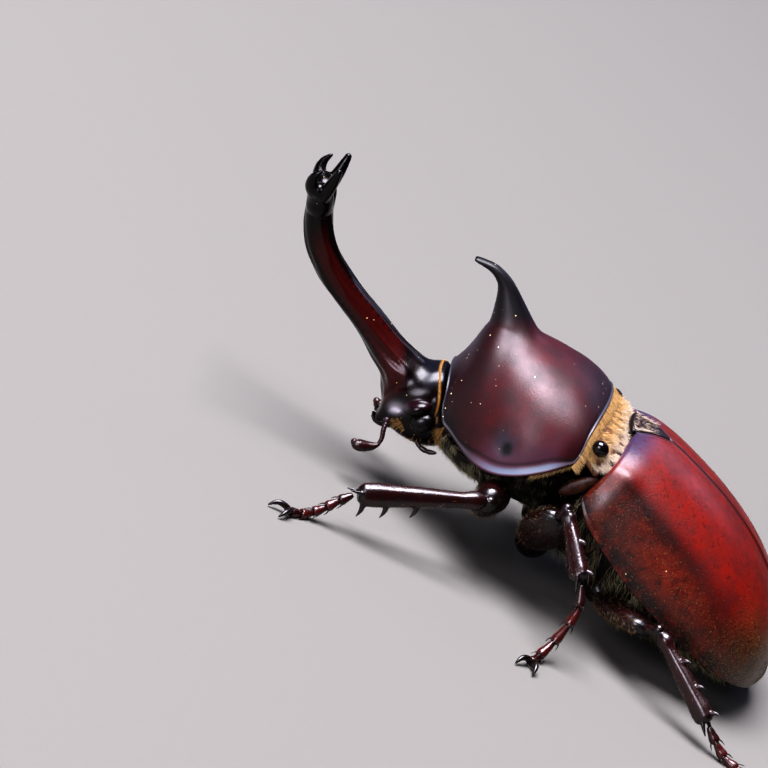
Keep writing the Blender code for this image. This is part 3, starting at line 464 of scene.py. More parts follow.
finishes = {
    # wine-dark thorax shield, grown as hard cuticle: satin and finely wrinkled, for a broad, soft highlight
    "shield": cuticle("maroon_thorax_cuticle_finely_wrinkled", {
        "base": "#460a10", "mottle": "#2c0508", "mottleSize": 2.6,
        # painted light among these zones: shade on front, rear, under the edge and in the pit; reflections on
        # flanks and lip
        "zones": (("frontDark", "#140304"), ("rearDark", "#16060c"), ("hornDark", "#060304"),
                  ("edgeDark", "#100406"), ("flankMauve", "#5a3848"), ("rimPale", "#66707f"),
                  ("dent", "#3e3c48"), ("dentCore", "#060608")),
        "dust": (("#f2dcb0", 2.2, 0.09, None), ("#f2dcb0", 0.9, 0.085, "dusty")), "sheen": (0.06, "#9a88d8"),
        "relief": (("wrinkles", 0.5, 0.003), ("pits", 0.19, 0.004), ("grain", 0.13, 0.01)), "specular": 0.5,
        "roughness": (0.4, 0.5)}),
    # nearly black horn and head, finely pitted so that the light breaks up in sparks, dark red on the sides
    "horn": cuticle("black_horn_cuticle_coarsely_punctured", {
        "base": "#070304", "mottle": "#120505", "mottleSize": 1.2,
        # litFacet's pale grey is a painted highlight on the cheek
        "zones": (("hornRed", "#340908"), ("hornTip", "#050303"), ("smoothTop", "#14151c"),
                  ("canthus", "#1e0b12"), ("litFacet", "#a09ca2"), ("collar", "#a8783c")),
        "dust": (("#e8c890", 1.4, 0.07, None),), "polished": "polished",
        "relief": (("pits", 0.17, 0.004), ("wrinkles", 1.2, 0.004), ("grain", 0.12, 0.005)),
        "specular": 0.34, "roughness": (0.18, 0.28)}),
    # wing cases: translucent-looking red that darkens to brown bands and rims, satin with minute pits
    # the band and the lower side are partly painted shade and dark reflection; the base has a painted purple-blue
    # sheen
    "wing": cuticle("red_brown_wing_case_cuticle", {
        "base": "#701408", "mottle": "#580d06", "mottleSize": 2.4, "coat": 0.2, "coatRoughness": 0.3,
        "zones": (("lowerBrown", "#3a1409"), ("brownBand", "#1c0403"), ("lowRed", "#76200e"),
                  ("rearOlive", "#4c3416"), ("baseDark", "#3a2c46"), ("sutureDark", "#120404"),
                  ("marginDark", "#100404")),
        "flecks": (("#1a0604", 1.1, 0.46, 0.74, "lowerBrown"), ("#3a0d06", 0.5, 0.55, 0.7, None),
                   ("#5c1b0c", 1.8, 0.45, 0.75, "lowerBrown"), ("#866638", 0.2, 0.6, 0.72, "lowerBrown"),
                   ("#a3854a", 0.2, 0.54, 0.66, "rearOlive")),
        "dust": (("#e0c890", 3.1, 0.09, None),),
        "relief": (("wrinkles", 1.0, 0.006), ("pits", 0.26, 0.006), ("grain", 0.14, 0.008)),
        "roughness": (0.34, 0.46)}),
    # small shield between the wing cases: the thorax's colour, smoother
    "scutellum": cuticle("dark_scutellum_cuticle", {
        "base": "#200a12", "mottle": "#150609", "mottleSize": 1.0, "zones": (("edgeDark", "#0c0404"),),
        "relief": (("wrinkles", 0.5, 0.02), ("grain", 0.15, 0.01)),
        "roughness": (0.3, 0.42)}),
    # underside plates: warm brown leathery cuticle, mostly under hair
    "under": cuticle("brown_underside_cuticle_leathery", {
        "base": "#0e0604", "mottle": "#1a0c07", "mottleSize": 1.6,
        "zones": (("seamPale", "#6a5038"), ("seamDark", "#0a0403")),
        "relief": (("wrinkles", 0.5, 0.03), ("pits", 0.35, 0.02)), "specular": 0.35,
        "roughness": (0.34, 0.5)}),
    # skin behind the thorax shield: dull brown ground for the cream fur
    "nape": cuticle("brown_nape_cuticle_dull", {
        "base": "#7a5230", "mottle": "#3c2010", "mottleSize": 0.9,
        "relief": (("wrinkles", 0.4, 0.05), ("grain", 0.12, 0.02)), "roughness": (0.4, 0.6)}),
    # hip joints: nearly black with a red cast, polished
    "hip": cuticle("black_red_hip_cuticle_polished", {
        "base": "#0c0303", "mottle": "#1a0605", "mottleSize": 1.8,
        "zones": (("seamDark", "#050202"),),
        "relief": (("pits", 0.4, 0.012), ("grain", 0.15, 0.006)), "specular": 0.4,
        "roughness": (0.2, 0.3)}),
    # small plate under the wing's hinge: brown, leathery
    "sidePlate": cuticle("brown_side_plate_cuticle", {
        "base": "#4e2818", "mottle": "#24110a", "mottleSize": 0.9,
        "relief": (("wrinkles", 0.5, 0.015), ("grain", 0.15, 0.01)), "roughness": (0.34, 0.46)}),
    # black shiny knob at the wing's hinge
    "knob": cuticle("black_hinge_knob_cuticle_polished", {
        "base": "#090506", "mottle": "#150a0c", "mottleSize": 0.5,
        "relief": (("grain", 0.3, 0.01),), "roughness": (0.12, 0.2)}),
    # limbs: polished dark red with darker joints, scattered pits where bristles stand
    "limb": cuticle("polished_red_brown_limb_cuticle", {
        "base": "#280706", "mottle": "#150404", "mottleSize": 1.4, "specular": 0.7,
        "zones": (("jointDark", "#070303"), ("jointRed", "#42110b")),
        "relief": (("pits", 0.5, 0.008), ("grain", 0.2, 0.005)),
        "roughness": (0.22, 0.34)}),
    # feelers: dark red-brown lamellae, satin, with a painted pale glint on the first joint's knob
    "feeler": cuticle("red_brown_feeler_cuticle", {
        "base": "#2c0b09", "mottle": "#1a0706", "mottleSize": 0.5, "zones": (("knobLight", "#383038"),),
        "relief": (("grain", 0.1, 0.012),), "roughness": (0.24, 0.36)}),
    # eyes: black compound eyes, a glassy coat over minute facets
    "eye": cuticle("black_compound_eye_glassy_facets", {
        "base": "#060506", "mottle": "#0b090a", "mottleSize": 0.6, "zones": (("eyeRim", "#2a1a1a"),),
        "relief": (("facets", 0.07, 0.006),), "roughness": (0.24, 0.3), "specular": 0.35,
        "coat": 0.15, "coatRoughness": 0.08}),
    "creamFur": pile("cream_fur_soft", {"root": "#b08c58", "tip": "#f6e8cc", "stray": "#fffaf0",
                                        "roughness": 0.55, "through": 0.25}),
    "goldFringe": pile("golden_orange_fringe_hair", {"root": "#a87838", "tip": "#f0cc8a", "stray": "#f8dc9c",
                                                     "roughness": 0.4, "through": 0.25}),
    "orangeBrush": pile("orange_mouth_brush_hair", {"root": "#8a5014", "tip": "#e6b04e", "stray": "#f0cc84",
                                                    "roughness": 0.42, "through": 0.25}),
    "beigeFur": pile("olive_beige_underside_fur", {"root": "#463c20", "tip": "#aaa272", "stray": "#d0c8a2",
                                                  "roughness": 0.55, "through": 0.3}),
    "goldDown": pile("short_golden_down", {"root": "#3c2008", "tip": "#94703a", "stray": "#b89c62",
                                           "roughness": 0.4, "through": 0.2}),
    "darkBristle": pile("dark_limb_bristle", {"root": "#1c0b08", "tip": "#5a2c18", "stray": "#8a5a34",
                                              "roughness": 0.35, "through": 0.1}),
}
print("materials made")


# how hair is grown

bakePatch = 0.003                             # side of the small square of the unwrap that each hair is given


# growHair: three-sided stalks that taper from root to tip. A point at s along is
# root + length * (lie * s + bend * s * s), and three corners stand round it at a distance that shrinks
# as 1 - 0.85 s
def growHair(roots, lie, bend, length, width, sections):
    count = len(roots)
    s = np.linspace(0.0, 1.0, sections + 1)[None, :-1, None]
    reach = length[:, None, None]
    spine = roots[:, None] + reach * (lie[:, None] * s + bend[:, None] * s * s)
    tip = roots + length[:, None] * (lie + bend)
    ahead = lie[:, None] + 2.0 * bend[:, None] * s
    ahead /= np.linalg.norm(ahead, axis=2)[..., None] + 1e-9
    spin = dice.normal(size=(count, 1, 3))
    side = np.cross(ahead, spin)
    side /= np.linalg.norm(side, axis=2)[..., None] + 1e-9
    lift = np.cross(ahead, side)
    angle = around(3)
    half = (0.5 * width[:, None, None] * (1.0 - 0.85 * s))[..., None]
    corners = spine[:, :, None] + half * (side[:, :, None] * np.cos(angle)[:, None]
                                          + lift[:, :, None] * np.sin(angle)[:, None])
    points = np.concatenate([corners.reshape(count, -1, 3), tip[:, None]], axis=1)
    each = sections * 3 + 1
    here = np.arange(sections * 3).reshape(sections, 3)
    beside = np.roll(here, -1, axis=1)
    quads = np.stack([here[:-1], beside[:-1], beside[1:], here[1:]], axis=-1).reshape(-1, 4)
    fans = np.vstack([np.stack([here[-1], beside[-1], np.full(3, each - 1)], axis=-1), here[0][None, ::-1]])
    start = (np.arange(count) * each)[:, None, None]
    along = np.tile(np.append(np.repeat(s.ravel(), 3), 1.0), count)
    skin = (points.reshape(-1, 3), (quads[None] + start).reshape(-1, 4), (fans[None] + start).reshape(-1, 3))
    return skin, along, each


groundLevel = placed(np.zeros(3), "ground")[2]


# addCoat: one piece of hair, raised to the ground where it hangs lower; every hair's faces share a small
# square of the unwrap at the root's place
def addCoat(name, finish, tufts, sections=4):
    skins, alongs, shades, places = [], [], [], []
    for roots, lie, bend, length, width, uv in tufts:
        skin, along, each = growHair(roots, lie, bend, length, width, sections)
        skins.append(skin)
        alongs.append(along)
        shades.append(np.repeat(np.clip(dice.normal(0.3, 0.25, len(roots)), 0.0, 1.0), each))
        corner = np.tile(np.append(np.tile(np.arange(3), each // 3), 0), len(roots))
        offset = np.stack([(corner == 1) * bakePatch, (corner == 2) * bakePatch], axis=-1)
        places.append(np.repeat(np.clip(uv, 0.0, 1.0 - bakePatch), each, axis=0) + offset)
    points, *faces = joined(skins)
    piece = addPiece(name, (np.maximum(points, (-1e9, -1e9, groundLevel)), *faces), finish,
                     marks={"along": np.concatenate(alongs), "shade": np.concatenate(shades)})
    mesh = piece.data
    corners = np.empty(len(mesh.loops), dtype=np.int32)
    mesh.loops.foreach_get("vertex_index", corners)
    layer = mesh.uv_layers.new(name="OFBake")
    layer.data.foreach_set("uv", np.vstack(places)[corners].astype(np.float32).ravel())
    return piece


# rootsOn: random places on a skin surface(u, v), kept where keep(points) beats chance, with the skin's
# outward normal (away from the middle point) and its u and v directions there
def rootsOn(surface, count, uRange, vRange, middle, keep=None):
    u = dice.uniform(*uRange, count)
    v = dice.uniform(*vRange, count)
    points = surface(u, v)
    if keep is not None:
        kept = dice.uniform(0.0, 1.0, count) < keep(points)
        u, v, points = u[kept], v[kept], points[kept]
    step = 1e-3
    alongU = surface(u + step, v) - surface(u - step, v)
    alongV = surface(u, v + step) - surface(u, v - step)
    normal = np.cross(alongU, alongV)
    normal /= np.linalg.norm(normal, axis=1)[:, None] + 1e-9
    flip = np.sign(((points - np.asarray(middle)) * normal).sum(axis=1))
    return points, normal * flip[:, None], np.stack([u, v], axis=-1)


# combed: the lie of hair as a mix of the normal and a combing direction, each hair strayed a little
def combed(normal, comb, lift, stray):
    way = comb - (comb * normal).sum(axis=1)[:, None] * normal
    way = way / (np.linalg.norm(way, axis=1)[:, None] + 1e-9) * (1.0 - lift) + normal * lift
    way = way + dice.normal(0.0, stray, way.shape)
    return way / np.linalg.norm(way, axis=1)[:, None]


# thorax shield with its horn

shield = {
    "length": 17.4,
    "halfWidth": ((0.0, 9.2), (1.7, 10.4), (4.2, 11.3), (6.9, 11.6), (9.8, 10.6), (13.0, 8.5), (15.9, 6.5),
                  (17.4, 5.9)),
    "crest": ((0.0, 0.1), (1.2, 1.1), (3.3, 2.3), (5.6, 3.05), (8.9, 3.85), (12.0, 4.2), (14.2, 3.7),
              (15.3, 2.3), (16.0, 0.6), (16.7, -0.7), (17.4, -1.7)),
    "margin": ((0.0, -4.3), (1.7, -4.8), (4.2, -6.1), (6.7, -7.4), (9.8, -8.5), (13.0, -8.2), (15.9, -6.6),
               (17.4, -6.1)),
    "roundness": 2.1,
    "rearCurve": 0.0135,                      # how far the rear edge curves forward, mm per mm2 of offset
    "frontBow": 0.6,                          # how far the front edge bows ahead at its middle
    "hornRoot": (12.6, 2.1, 1.95),            # ahead of the rear edge, half length, half width
    "hornRise": 1.0,
    "hornReach": 1.3,
    # rings of the horn: front ahead and up, rear ahead and up, half width
    "horn": ((14.6, 6.0, 11.35, 6.45, 1.6), (14.75, 7.1, 12.3, 7.55, 1.3), (15.15, 8.1, 13.3, 8.6, 1.05),
             (15.8, 8.9, 14.55, 9.55, 0.85), (16.6, 9.4, 15.9, 10.2, 0.74), (17.6, 9.7, 17.4, 10.4, 0.7),
             (18.45, 9.95, 18.4, 10.4, 0.6)),
    "lip": (0.3, 0.7),                        # how far the edge turns out, and over what width, mm
    "groove": (0.06, 0.95, 0.22),             # depth, distance from the edge, width
    "dent": (10.4, 9.2, -5.6, 1.1, 0.3),      # pit on each flank: sideways, ahead, height, width, depth
    # under the edge: size against the edge's outline and drop from it, then size and rise inside the margin
    "bead": ((1.004, 0.06), (1.003, 0.16), (0.995, 0.26), (0.975, 0.28), (0.95, 0.1)),
    "inside": ((0.9, 0.5), (0.75, 1.5), (0.4, 2.0)),
    "columns": 320,
    "rows": (60, 30, 90, 50),                 # down the horn, round its root, over the dome, near the edge
}
shieldHalf = scalarThrough(shield["halfWidth"], 0.3)
shieldCrest = scalarThrough(shield["crest"], 0.25)
shieldMargin = scalarThrough(shield["margin"], 0.4)


# shieldHeight: an arch from margin to crest to margin, a superellipse across the plate
def shieldHeight(x, ahead):
    part = np.clip(np.abs(x) / shieldHalf(ahead), 0.0, 1.0) ** shield["roundness"]
    arch = (1.0 - part) ** (1.0 / shield["roundness"])
    return shieldMargin(ahead) + (shieldCrest(ahead) - shieldMargin(ahead)) * arch


# shieldOutline: evenly stepped plan outline, from the middle of the rear edge round the left side: a parabola
# behind, the half width along the flank, and a parabola in front
def shieldOutline(count):
    side = np.linspace(0.0, 1.0, 200)
    cornerAhead, cornerHalf = shield["halfWidth"][1]
    rearX = side * cornerHalf
    rear = np.column_stack([rearX, shield["rearCurve"] * rearX ** 2])
    flankAhead = cornerAhead + side[1:] * (shield["length"] - shield["frontBow"] - cornerAhead)
    flank = np.column_stack([shieldHalf(flankAhead), flankAhead])
    frontX = flank[-1, 0] * (1.0 - side[1:])
    front = np.column_stack([frontX, shield["length"] - shield["frontBow"] * (frontX / flank[-1, 0]) ** 2])
    left = np.vstack([rear, flank, front])
    loop = np.vstack([left, left[-2:0:-1] * (-1.0, 1.0), left[:1]])
    along = runAlong(loop)
    stops = np.arange(count) * along[-1] / count
    return np.column_stack([np.interp(stops, along, loop[:, 0]), np.interp(stops, along, loop[:, 1])])


outlineOfShield = shieldOutline(shield["columns"])
rootAhead, rootLong, rootWide = shield["hornRoot"]
wayOut = outlineOfShield - (0.0, rootAhead)
wayOut /= np.linalg.norm(wayOut, axis=1)[:, None]
stretch = np.sqrt((wayOut[:, 0] / rootWide) ** 2 + (wayOut[:, 1] / rootLong) ** 2)
rootOfHorn = (0.0, rootAhead) + wayOut / stretch[:, None]
turnOfHorn = np.arctan2(wayOut[:, 0] / rootWide, wayOut[:, 1] / rootLong)


# domePoint: a point of the shield's top, out is 0 at the horn's root and 1 at the edge, column runs round
# the outline; the flare that rises into the horn and the pit on each flank are small hills along the height
def domePoint(out, column):
    turn = (column % 1.0) * shield["columns"]
    at = np.arange(shield["columns"] + 1)
    outline, root = (np.stack([np.interp(turn, at, np.append(c, c[0])) for c in loop.T], axis=-1)
                     for loop in (outlineOfShield, rootOfHorn))
    plan = root + (outline - root) * out[..., None]
    distance = np.linalg.norm(plan - root, axis=-1)
    x, ahead = plan[..., 0], plan[..., 1]
    height = shieldHeight(x, ahead) + shield["hornRise"] * np.exp(-((distance / shield["hornReach"]) ** 1.5))
    aside, forward, level, width, depth = shield["dent"]
    squared = (np.abs(x) - aside) ** 2 + (ahead - forward) ** 2 + (height - level) ** 2
    sunk = depth * np.exp(-(squared / width ** 2))
    return np.stack([x - np.sign(x) * 0.9 * sunk, -ahead, height - 0.4 * sunk], axis=-1)


# lipBreadth: share of the lip's full size at a place along the edge: full on the flanks, thin at both ends
def lipBreadth(ahead):
    return (0.3 + 0.7 * stepUp(ahead, 1.5, 4.5)) * (1.0 - 0.7 * stepUp(ahead, 11.5, 14.5))


# flareEdge: turns the last of the skin outwards as a lip behind a groove, by the distance to the edge: a
# power of what is left of the lip's width, less a bump for the groove
def flareEdge(rings):
    toEdge = np.linalg.norm(rings - rings[-1], axis=2)
    normal = np.cross(np.gradient(rings, axis=0), np.roll(rings, -1, axis=1) - np.roll(rings, 1, axis=1))
    normal /= np.linalg.norm(normal, axis=2)[..., None] + 1e-9
    normal *= np.sign(normal[60, 0, 2])       # a row well inside the dome shows which way is up
    up, width = shield["lip"]
    down, low, span = shield["groove"]
    flank = lipBreadth(-rings[-1, :, 1])
    turned = up * np.clip(1.0 - toEdge / (width * flank), 0.0, 1.0) ** 1.4
    rise = flank * (turned - down * bump(toEdge, low * flank, span))
    return list(rings + normal * rise[..., None])


# makeShield: rings from the horn's tip down to its root, out over the dome, round the rim and in below
def makeShield():
    columns = np.arange(shield["columns"]) / shield["columns"]
    hornRows, rootRows, domeRows, edgeRows = shield["rows"]
    rings = []
    chords = smoothThrough([(i, *row) for i, row in enumerate(shield["horn"])], 0.12)
    last = len(shield["horn"]) - 1.0
    tipStops = last - 0.12 * np.array((0.0, 0.1, 0.4, 1.0))
    for stop in np.concatenate([tipStops, np.linspace(last - 0.3, 0.0, hornRows)]):
        frontAhead, frontUp, rearAhead, rearUp, half = chords(stop)
        cap = math.sqrt(max(1.0 - max((stop - last + 0.3) / 0.3, 0.0) ** 2, 0.02))
        mean = np.array((frontAhead + rearAhead, frontUp + rearUp)) / 2.0
        reach = np.array((frontAhead - rearAhead, frontUp - rearUp)) / 2.0 * cap
        fork = 0.35 * stepUp(stop, last - 1.0, last)          # the tip is notched into two short points
        x = half * cap * np.sin(turnOfHorn)
        notched = -(mean[0] + reach[0] * np.cos(turnOfHorn)) + fork * np.exp(-(x / 0.22) ** 2)
        rings.append(np.stack([x, notched, mean[1] + reach[1] * np.cos(turnOfHorn)], axis=-1))
    rootRow = len(rings) - 1
    # rows close up toward the edge, where the flank is nearly upright and each would otherwise drop far
    nearEdge = 1.0 - 0.1 * (1.0 - np.linspace(0.0, 1.0, edgeRows)[1:]) ** 2
    nearRoot = np.linspace(0.0, 0.2, rootRows)
    for out in np.concatenate([nearRoot, np.linspace(0.2, 0.9, domeRows)[1:], nearEdge]):
        ring = domePoint(np.full(shield["columns"], out), columns)
        turned = sum(np.roll(ring, k, axis=0) for k in range(-3, 4)) / 7.0       # eases the plate's corners
        rings.append(ring + (turned - ring) * stepUp(out, 0.3, 0.8))
    flared = domeRows + edgeRows - 1
    rings = rings[:-flared] + flareEdge(np.array(rings[-flared:]))
    edge = rings[-1]
    middle = np.array((0.0, -0.5 * shield["length"]))
    for shrink, drop in shield["bead"]:
        plan = middle + (edge[:, :2] - middle) * shrink
        rings.append(np.column_stack([plan, edge[:, 2] - drop]))
    for shrink, lift in shield["inside"]:
        plan = middle + (edge[:, :2] - middle) * shrink
        rings.append(np.column_stack([plan, np.minimum(edge[:, 2] - 0.1, shieldMargin(-plan[:, 1])) + lift]))
    rings = np.array(rings)
    steps = np.linalg.norm(np.diff(rings, axis=0), axis=2).mean(axis=1)
    along = np.concatenate([[0.0], np.cumsum(np.maximum(steps, 1e-3))])
    easing = 0.9 * bump(along, along[rootRow], 1.5)[1:-1, None, None]     # only the horn's root is eased
    for repeat in range(500):
        rings[1:-1] += easing * (0.5 * (rings[:-2] + rings[2:]) - rings[1:-1])
    return rings


shieldRings = makeShield()
shieldSkin = ringSkin(shieldRings)
ahead, up, side = -shieldSkin[0][:, 1], shieldSkin[0][:, 2], np.abs(shieldSkin[0][:, 0])
lastOnTop = len(shieldRings) - 1 - len(shield["bead"]) - len(shield["inside"])
fromEdge = np.linalg.norm(shieldRings - shieldRings[lastOnTop], axis=2)
fromEdge[lastOnTop + 1:] = 0.0
fromEdge = np.append(fromEdge.ravel(), (9.0, 0.0))
bearing = np.arctan2(up + 5.5, ahead - 9.2)                  # round the pit, whose patch of painted shade is ragged
ragged = (1.0 + 0.15 * np.sin(2.0 * bearing + 1.0) + 0.12 * np.sin(5.0 * bearing)
          + 0.1 * np.sin(11.0 * bearing))
onFlank = stepUp(ahead, 2.5, 4.5) * (1.0 - stepUp(ahead, 10.0, 13.0))
# how strong the painted reflection on the lip is along the edge
reflectionAlongEdge = (1.0 - 0.8 * stepUp(ahead, 8.5, 12.5)) * (0.25 + 0.7 * stepUp(ahead, 2.0, 4.5))
frontward = 0.85 * stepUp(ahead - 0.18 * side, 9.0, 15.0)
shieldMarks = {
    "hornDark": stepUp(up, 3.7, 6.4),
    # painted shade over the rear of the dome
    "rearDark": 0.85 * (1.0 - stepUp(ahead + 0.25 * side, 1.5, 7.5)),
    "dusty": stepUp(ahead - 0.15 * side, 9.5, 13.0) + 0.5 * bump(fromEdge, 1.5, 1.2),
    # painted shade over the front of the dome and along its front edge
    "frontDark": np.clip(frontward + bump(fromEdge, 0.0, 1.0) * stepUp(ahead, 14.0, 16.0), 0.0, 1.0),
    # painted shade under the shield's edge and in a thin line along the groove behind the lip
    "edgeDark": np.where(fromEdge == 0.0, 0.8, 0.8 * bump(fromEdge, 1.15 * lipBreadth(ahead), 0.2)),
    # a painted mauve reflection low on the flanks
    "flankMauve": 0.6 * (1.0 - stepUp(fromEdge, 1.0, 4.5)) * onFlank,
    # a painted pale blue-grey reflection on the turned-out lip, strongest along the flanks
    "rimPale": (fromEdge > 0.0) * reflectionAlongEdge * (
        1.0 - stepUp(fromEdge, 0.45 * lipBreadth(ahead), 0.95 * lipBreadth(ahead))),
    # painted shade in the pit on each flank: dark blue-grey round it, nearly black at its core
    "dent": 0.85 * np.exp(-((side - 10.4) ** 2 + (ahead - 9.3) ** 2 + (up + 5.3) ** 2) * ragged / 1.35 ** 2),
    "dentCore": np.exp(-(((side - 10.5) ** 2 + (ahead - 8.9) ** 2 + (up + 5.6) ** 2) * ragged
                         / 0.75 ** 2) ** 2),
}
addPiece("thorax_shield", carried(shieldSkin, "prothorax"), finishes["shield"],
         ("pronotum", "thoracic_horn"), shieldMarks)
print("thorax shield made")


# wing cases

wing = {
    "front": -3.8, "apex": 25.9,
    "halfWidth": ((-4.0, 10.8), (-2.4, 11.8), (0.0, 12.3), (4.0, 12.8), (10.0, 13.1), (15.0, 13.0),
                  (19.0, 12.1), (22.0, 10.2), (24.0, 7.6), (25.3, 4.6), (25.9, 2.2)),
    "crest": ((-4.0, -1.3), (-2.0, -0.4), (0.0, 0.0), (4.0, 0.2), (8.0, 0.1), (12.0, -0.4), (16.0, -1.4),
              (20.0, -3.2), (23.0, -5.7), (25.0, -8.4), (25.9, -9.8)),
    "margin": ((-4.0, -8.2), (-2.0, -9.2), (0.0, -9.7), (4.0, -10.3), (10.0, -10.8), (16.0, -10.8),
               (22.0, -10.7), (25.9, -10.9)),
    "roundness": 2.4,
    "thickness": 0.55,
    "scutellum": (4.4, 3.1),                  # length and half width of the notch for the small shield
    "gap": 0.08,
    "suture": (0.1, 0.2, 0.16),               # raised bead beside the middle line: height, place, width
    "sutureGroove": (0.05, 0.6, 0.2),         # groove outside that bead: depth, place, width
    "callus": (0.4, -2.2, 0.62, 1.7, 0.09),   # shoulder bump: height, behind, across, length, breadth
    "lip": ((0.05, 0.06), (0.07, 0.16), (0.04, 0.26), (-0.06, 0.3)),    # bead along the margin: out and down
    "rows": 200, "outer": 110, "inner": 50,
}
wingHalf = scalarThrough(wing["halfWidth"], 0.25)
wingCrest = scalarThrough(wing["crest"], 0.25)
wingMargin = scalarThrough(wing["margin"], 0.3)


# wingPoint: a point of the left wing case's top, along is 0 at its base and 1 at its tip, across is 0 at the
# middle line and 1 at the margin: a superellipse arch with bead, groove and shoulder bump added
def wingPoint(along, across, sink=0.0):
    behind = wing["front"] + (wing["apex"] - wing["front"]) * np.sin(along * math.pi / 2.0) ** 0.9
    half, low, high = wingHalf(behind), wingMargin(behind), wingCrest(behind)
    drop = np.minimum(sink, 0.4 * np.minimum(high - low, half))
    length, width = wing["scutellum"]
    notch = wing["gap"] + np.clip(-behind / length, 0.0, 1.0) * (width + wing["gap"])
    reach = np.sin(across * math.pi / 2.0)
    x = notch + (half - drop - notch) * reach
    arch = (1.0 - np.clip(x / (half - drop), 0.0, 1.0) ** wing["roundness"]) ** (1.0 / wing["roundness"])
    z = low + (high - drop - low) * arch
    if sink == 0.0:
        up, place, width = wing["suture"]
        down, low, span = wing["sutureGroove"]
        z = z + up * bump(x - notch, place, width) - down * bump(x - notch, low, span)
        up, back, place, length, breadth = wing["callus"]
        z = z + up * bump(behind, back, length) * bump(across, place, breadth)
    return np.stack([x, behind, z], axis=-1)


# makeWing: rings across one wing case, over the top from middle line to margin and back along its inside
def makeWing():
    along = np.linspace(0.0, 1.0, wing["rows"])
    top = wingPoint(*crossed(along, np.linspace(0.0, 1.0, wing["outer"])))
    below = wingPoint(*crossed(along, np.linspace(1.0, 0.0, wing["inner"])), wing["thickness"])
    lip = [top[:, -1:] + (out, 0.0, -drop) for out, drop in wing["lip"]]
    return np.concatenate([top] + lip + [below], axis=1)


wingSkin = ringSkin(makeWing())
across = np.concatenate([np.linspace(0.0, 1.0, wing["outer"]), np.ones(len(wing["lip"])),
                         np.linspace(1.0, 0.0, wing["inner"])])
across = np.append(np.tile(across, wing["rows"]), (0.5, 0.5))
behind = wingSkin[0][:, 1]
bandLow = 0.56 + 0.06 * stepUp(behind, 4.0, 22.0)
wingMarks = {
    "sutureDark": np.clip(1.0 - across / 0.028, 0.0, 1.0),
    # the lower side browner and darker: partly its golden-brown down, partly painted shade on the side turned
    # from the light
    "lowerBrown": stepUp(across, bandLow + 0.04, bandLow + 0.24),
    # a dark band back from the shoulder: partly the wing case's brown, partly a painted dark reflection
    "brownBand": (bump(across, 0.69, 0.08) * (1.0 - 0.6 * stepUp(behind, 3.0, 18.0))
                  * stepUp(behind, -3.2, -1.5)),
    "lowRed": 0.85 * np.exp(-((across - 0.84) / 0.1) ** 2 - ((behind - 8.5) / 5.0) ** 2),
    "rearOlive": 0.75 * stepUp(behind, 15.0, 23.5) * stepUp(across, 0.3, 0.6),
    # a painted purple-blue sheen over the base of the wing cases
    "baseDark": (1.0 - stepUp(behind, -3.4, -0.4)) * (1.0 - stepUp(across, 0.3, 0.6)),
    "marginDark": np.clip(0.6 * stepUp(across, 0.93, 0.96) + stepUp(across, 0.965, 0.99), 0.0, 1.0),
}
for side, name in ((1.0, "left"), (-1.0, "right")):
    skin = outward(placed(wingSkin[0] * (side, 1.0, 1.0), "body"), wingSkin[1], wingSkin[2])
    addPiece("wing_case_" + name, skin, finishes["wing"], ("elytron_" + name,), wingMarks)
print("wing cases made")


# small shield between the wing cases, and the nape in front of it

plate = {"halfWidth": 3.1, "rim": 0.1, "columns": 160, "rows": 40,
         "under": ((1.01, 0.15), (1.0, 0.35), (0.9, 0.55), (0.3, 0.6))}     # size of the outline, drop


# makePlate: rings of a rounded triangle from its middle to its edge, a low dome with a raised rim
def makePlate():
    turn = around(plate["columns"])
    corners = np.array(((0.0, 0.12), (plate["halfWidth"] * 0.62, -2.3), (plate["halfWidth"], -4.25),
                        (1.6, -4.75),
                        (0.0, -4.85)))
    loop = np.vstack([corners, corners[-2:0:-1] * (-1.0, 1.0), corners[:1]])
    length = runAlong(loop)
    stops = turn / tau * length[-1]
    outline = np.stack([np.interp(stops, length, loop[:, k]) for k in range(2)], axis=-1)
    padded = np.vstack([outline[-6:], outline, outline[:6]])
    outline = np.stack([np.convolve(column, np.ones(13) / 13.0, "valid") for column in padded.T], axis=1)
    middle = np.array((0.0, -2.9))
    rings = []
    for out in np.linspace(0.03, 1.0, plate["rows"]):
        plan = middle + (outline - middle) * out
        lift = 0.28 - 0.3 * out ** 2.6 + plate["rim"] * bump(out, 0.92, 0.05)
        rings.append(np.column_stack([plan, wingCrest(plan[:, 1]) + lift]))
    for out, drop in plate["under"]:
        plan = middle + (outline - middle) * out
        rings.append(np.column_stack([plan, wingCrest(plan[:, 1]) - drop]))
    return np.array(rings)


plateRings = makePlate()
plateSkin = ringSkin(plateRings)
plateEdge = np.concatenate([np.linspace(0.03, 1.0, plate["rows"]), np.ones(len(plate["under"]))])
plateEdge = np.append(np.repeat(plateEdge, plate["columns"]), (0.0, 1.0))
addPiece("scutellum_plate", carried(plateSkin, "body"), finishes["scutellum"], ("scutellum",),
         {"edgeDark": stepUp(plateEdge, 0.86, 0.98)})


# trunkPoint: a point of a trunk section's skin, from its stations (behind, half width, top, level, bottom)
# and how square it is above and below its widest level; turn runs round from the top
def trunkPoint(curve, roundness, behind, turn):
    half, top, level, bottom = np.moveaxis(curve(behind), -1, 0)
    sine, cosine = np.sin(turn), np.cos(turn)
    above = cosine >= 0.0
    x = half * np.where(above, powered(sine, roundness[0]), powered(sine, roundness[1]))
    high, low = powered(cosine, roundness[0]), powered(cosine, roundness[1])
    z = level + np.where(above, high * (top - level), low * (level - bottom))
    return np.stack([x, behind, z], axis=-1)


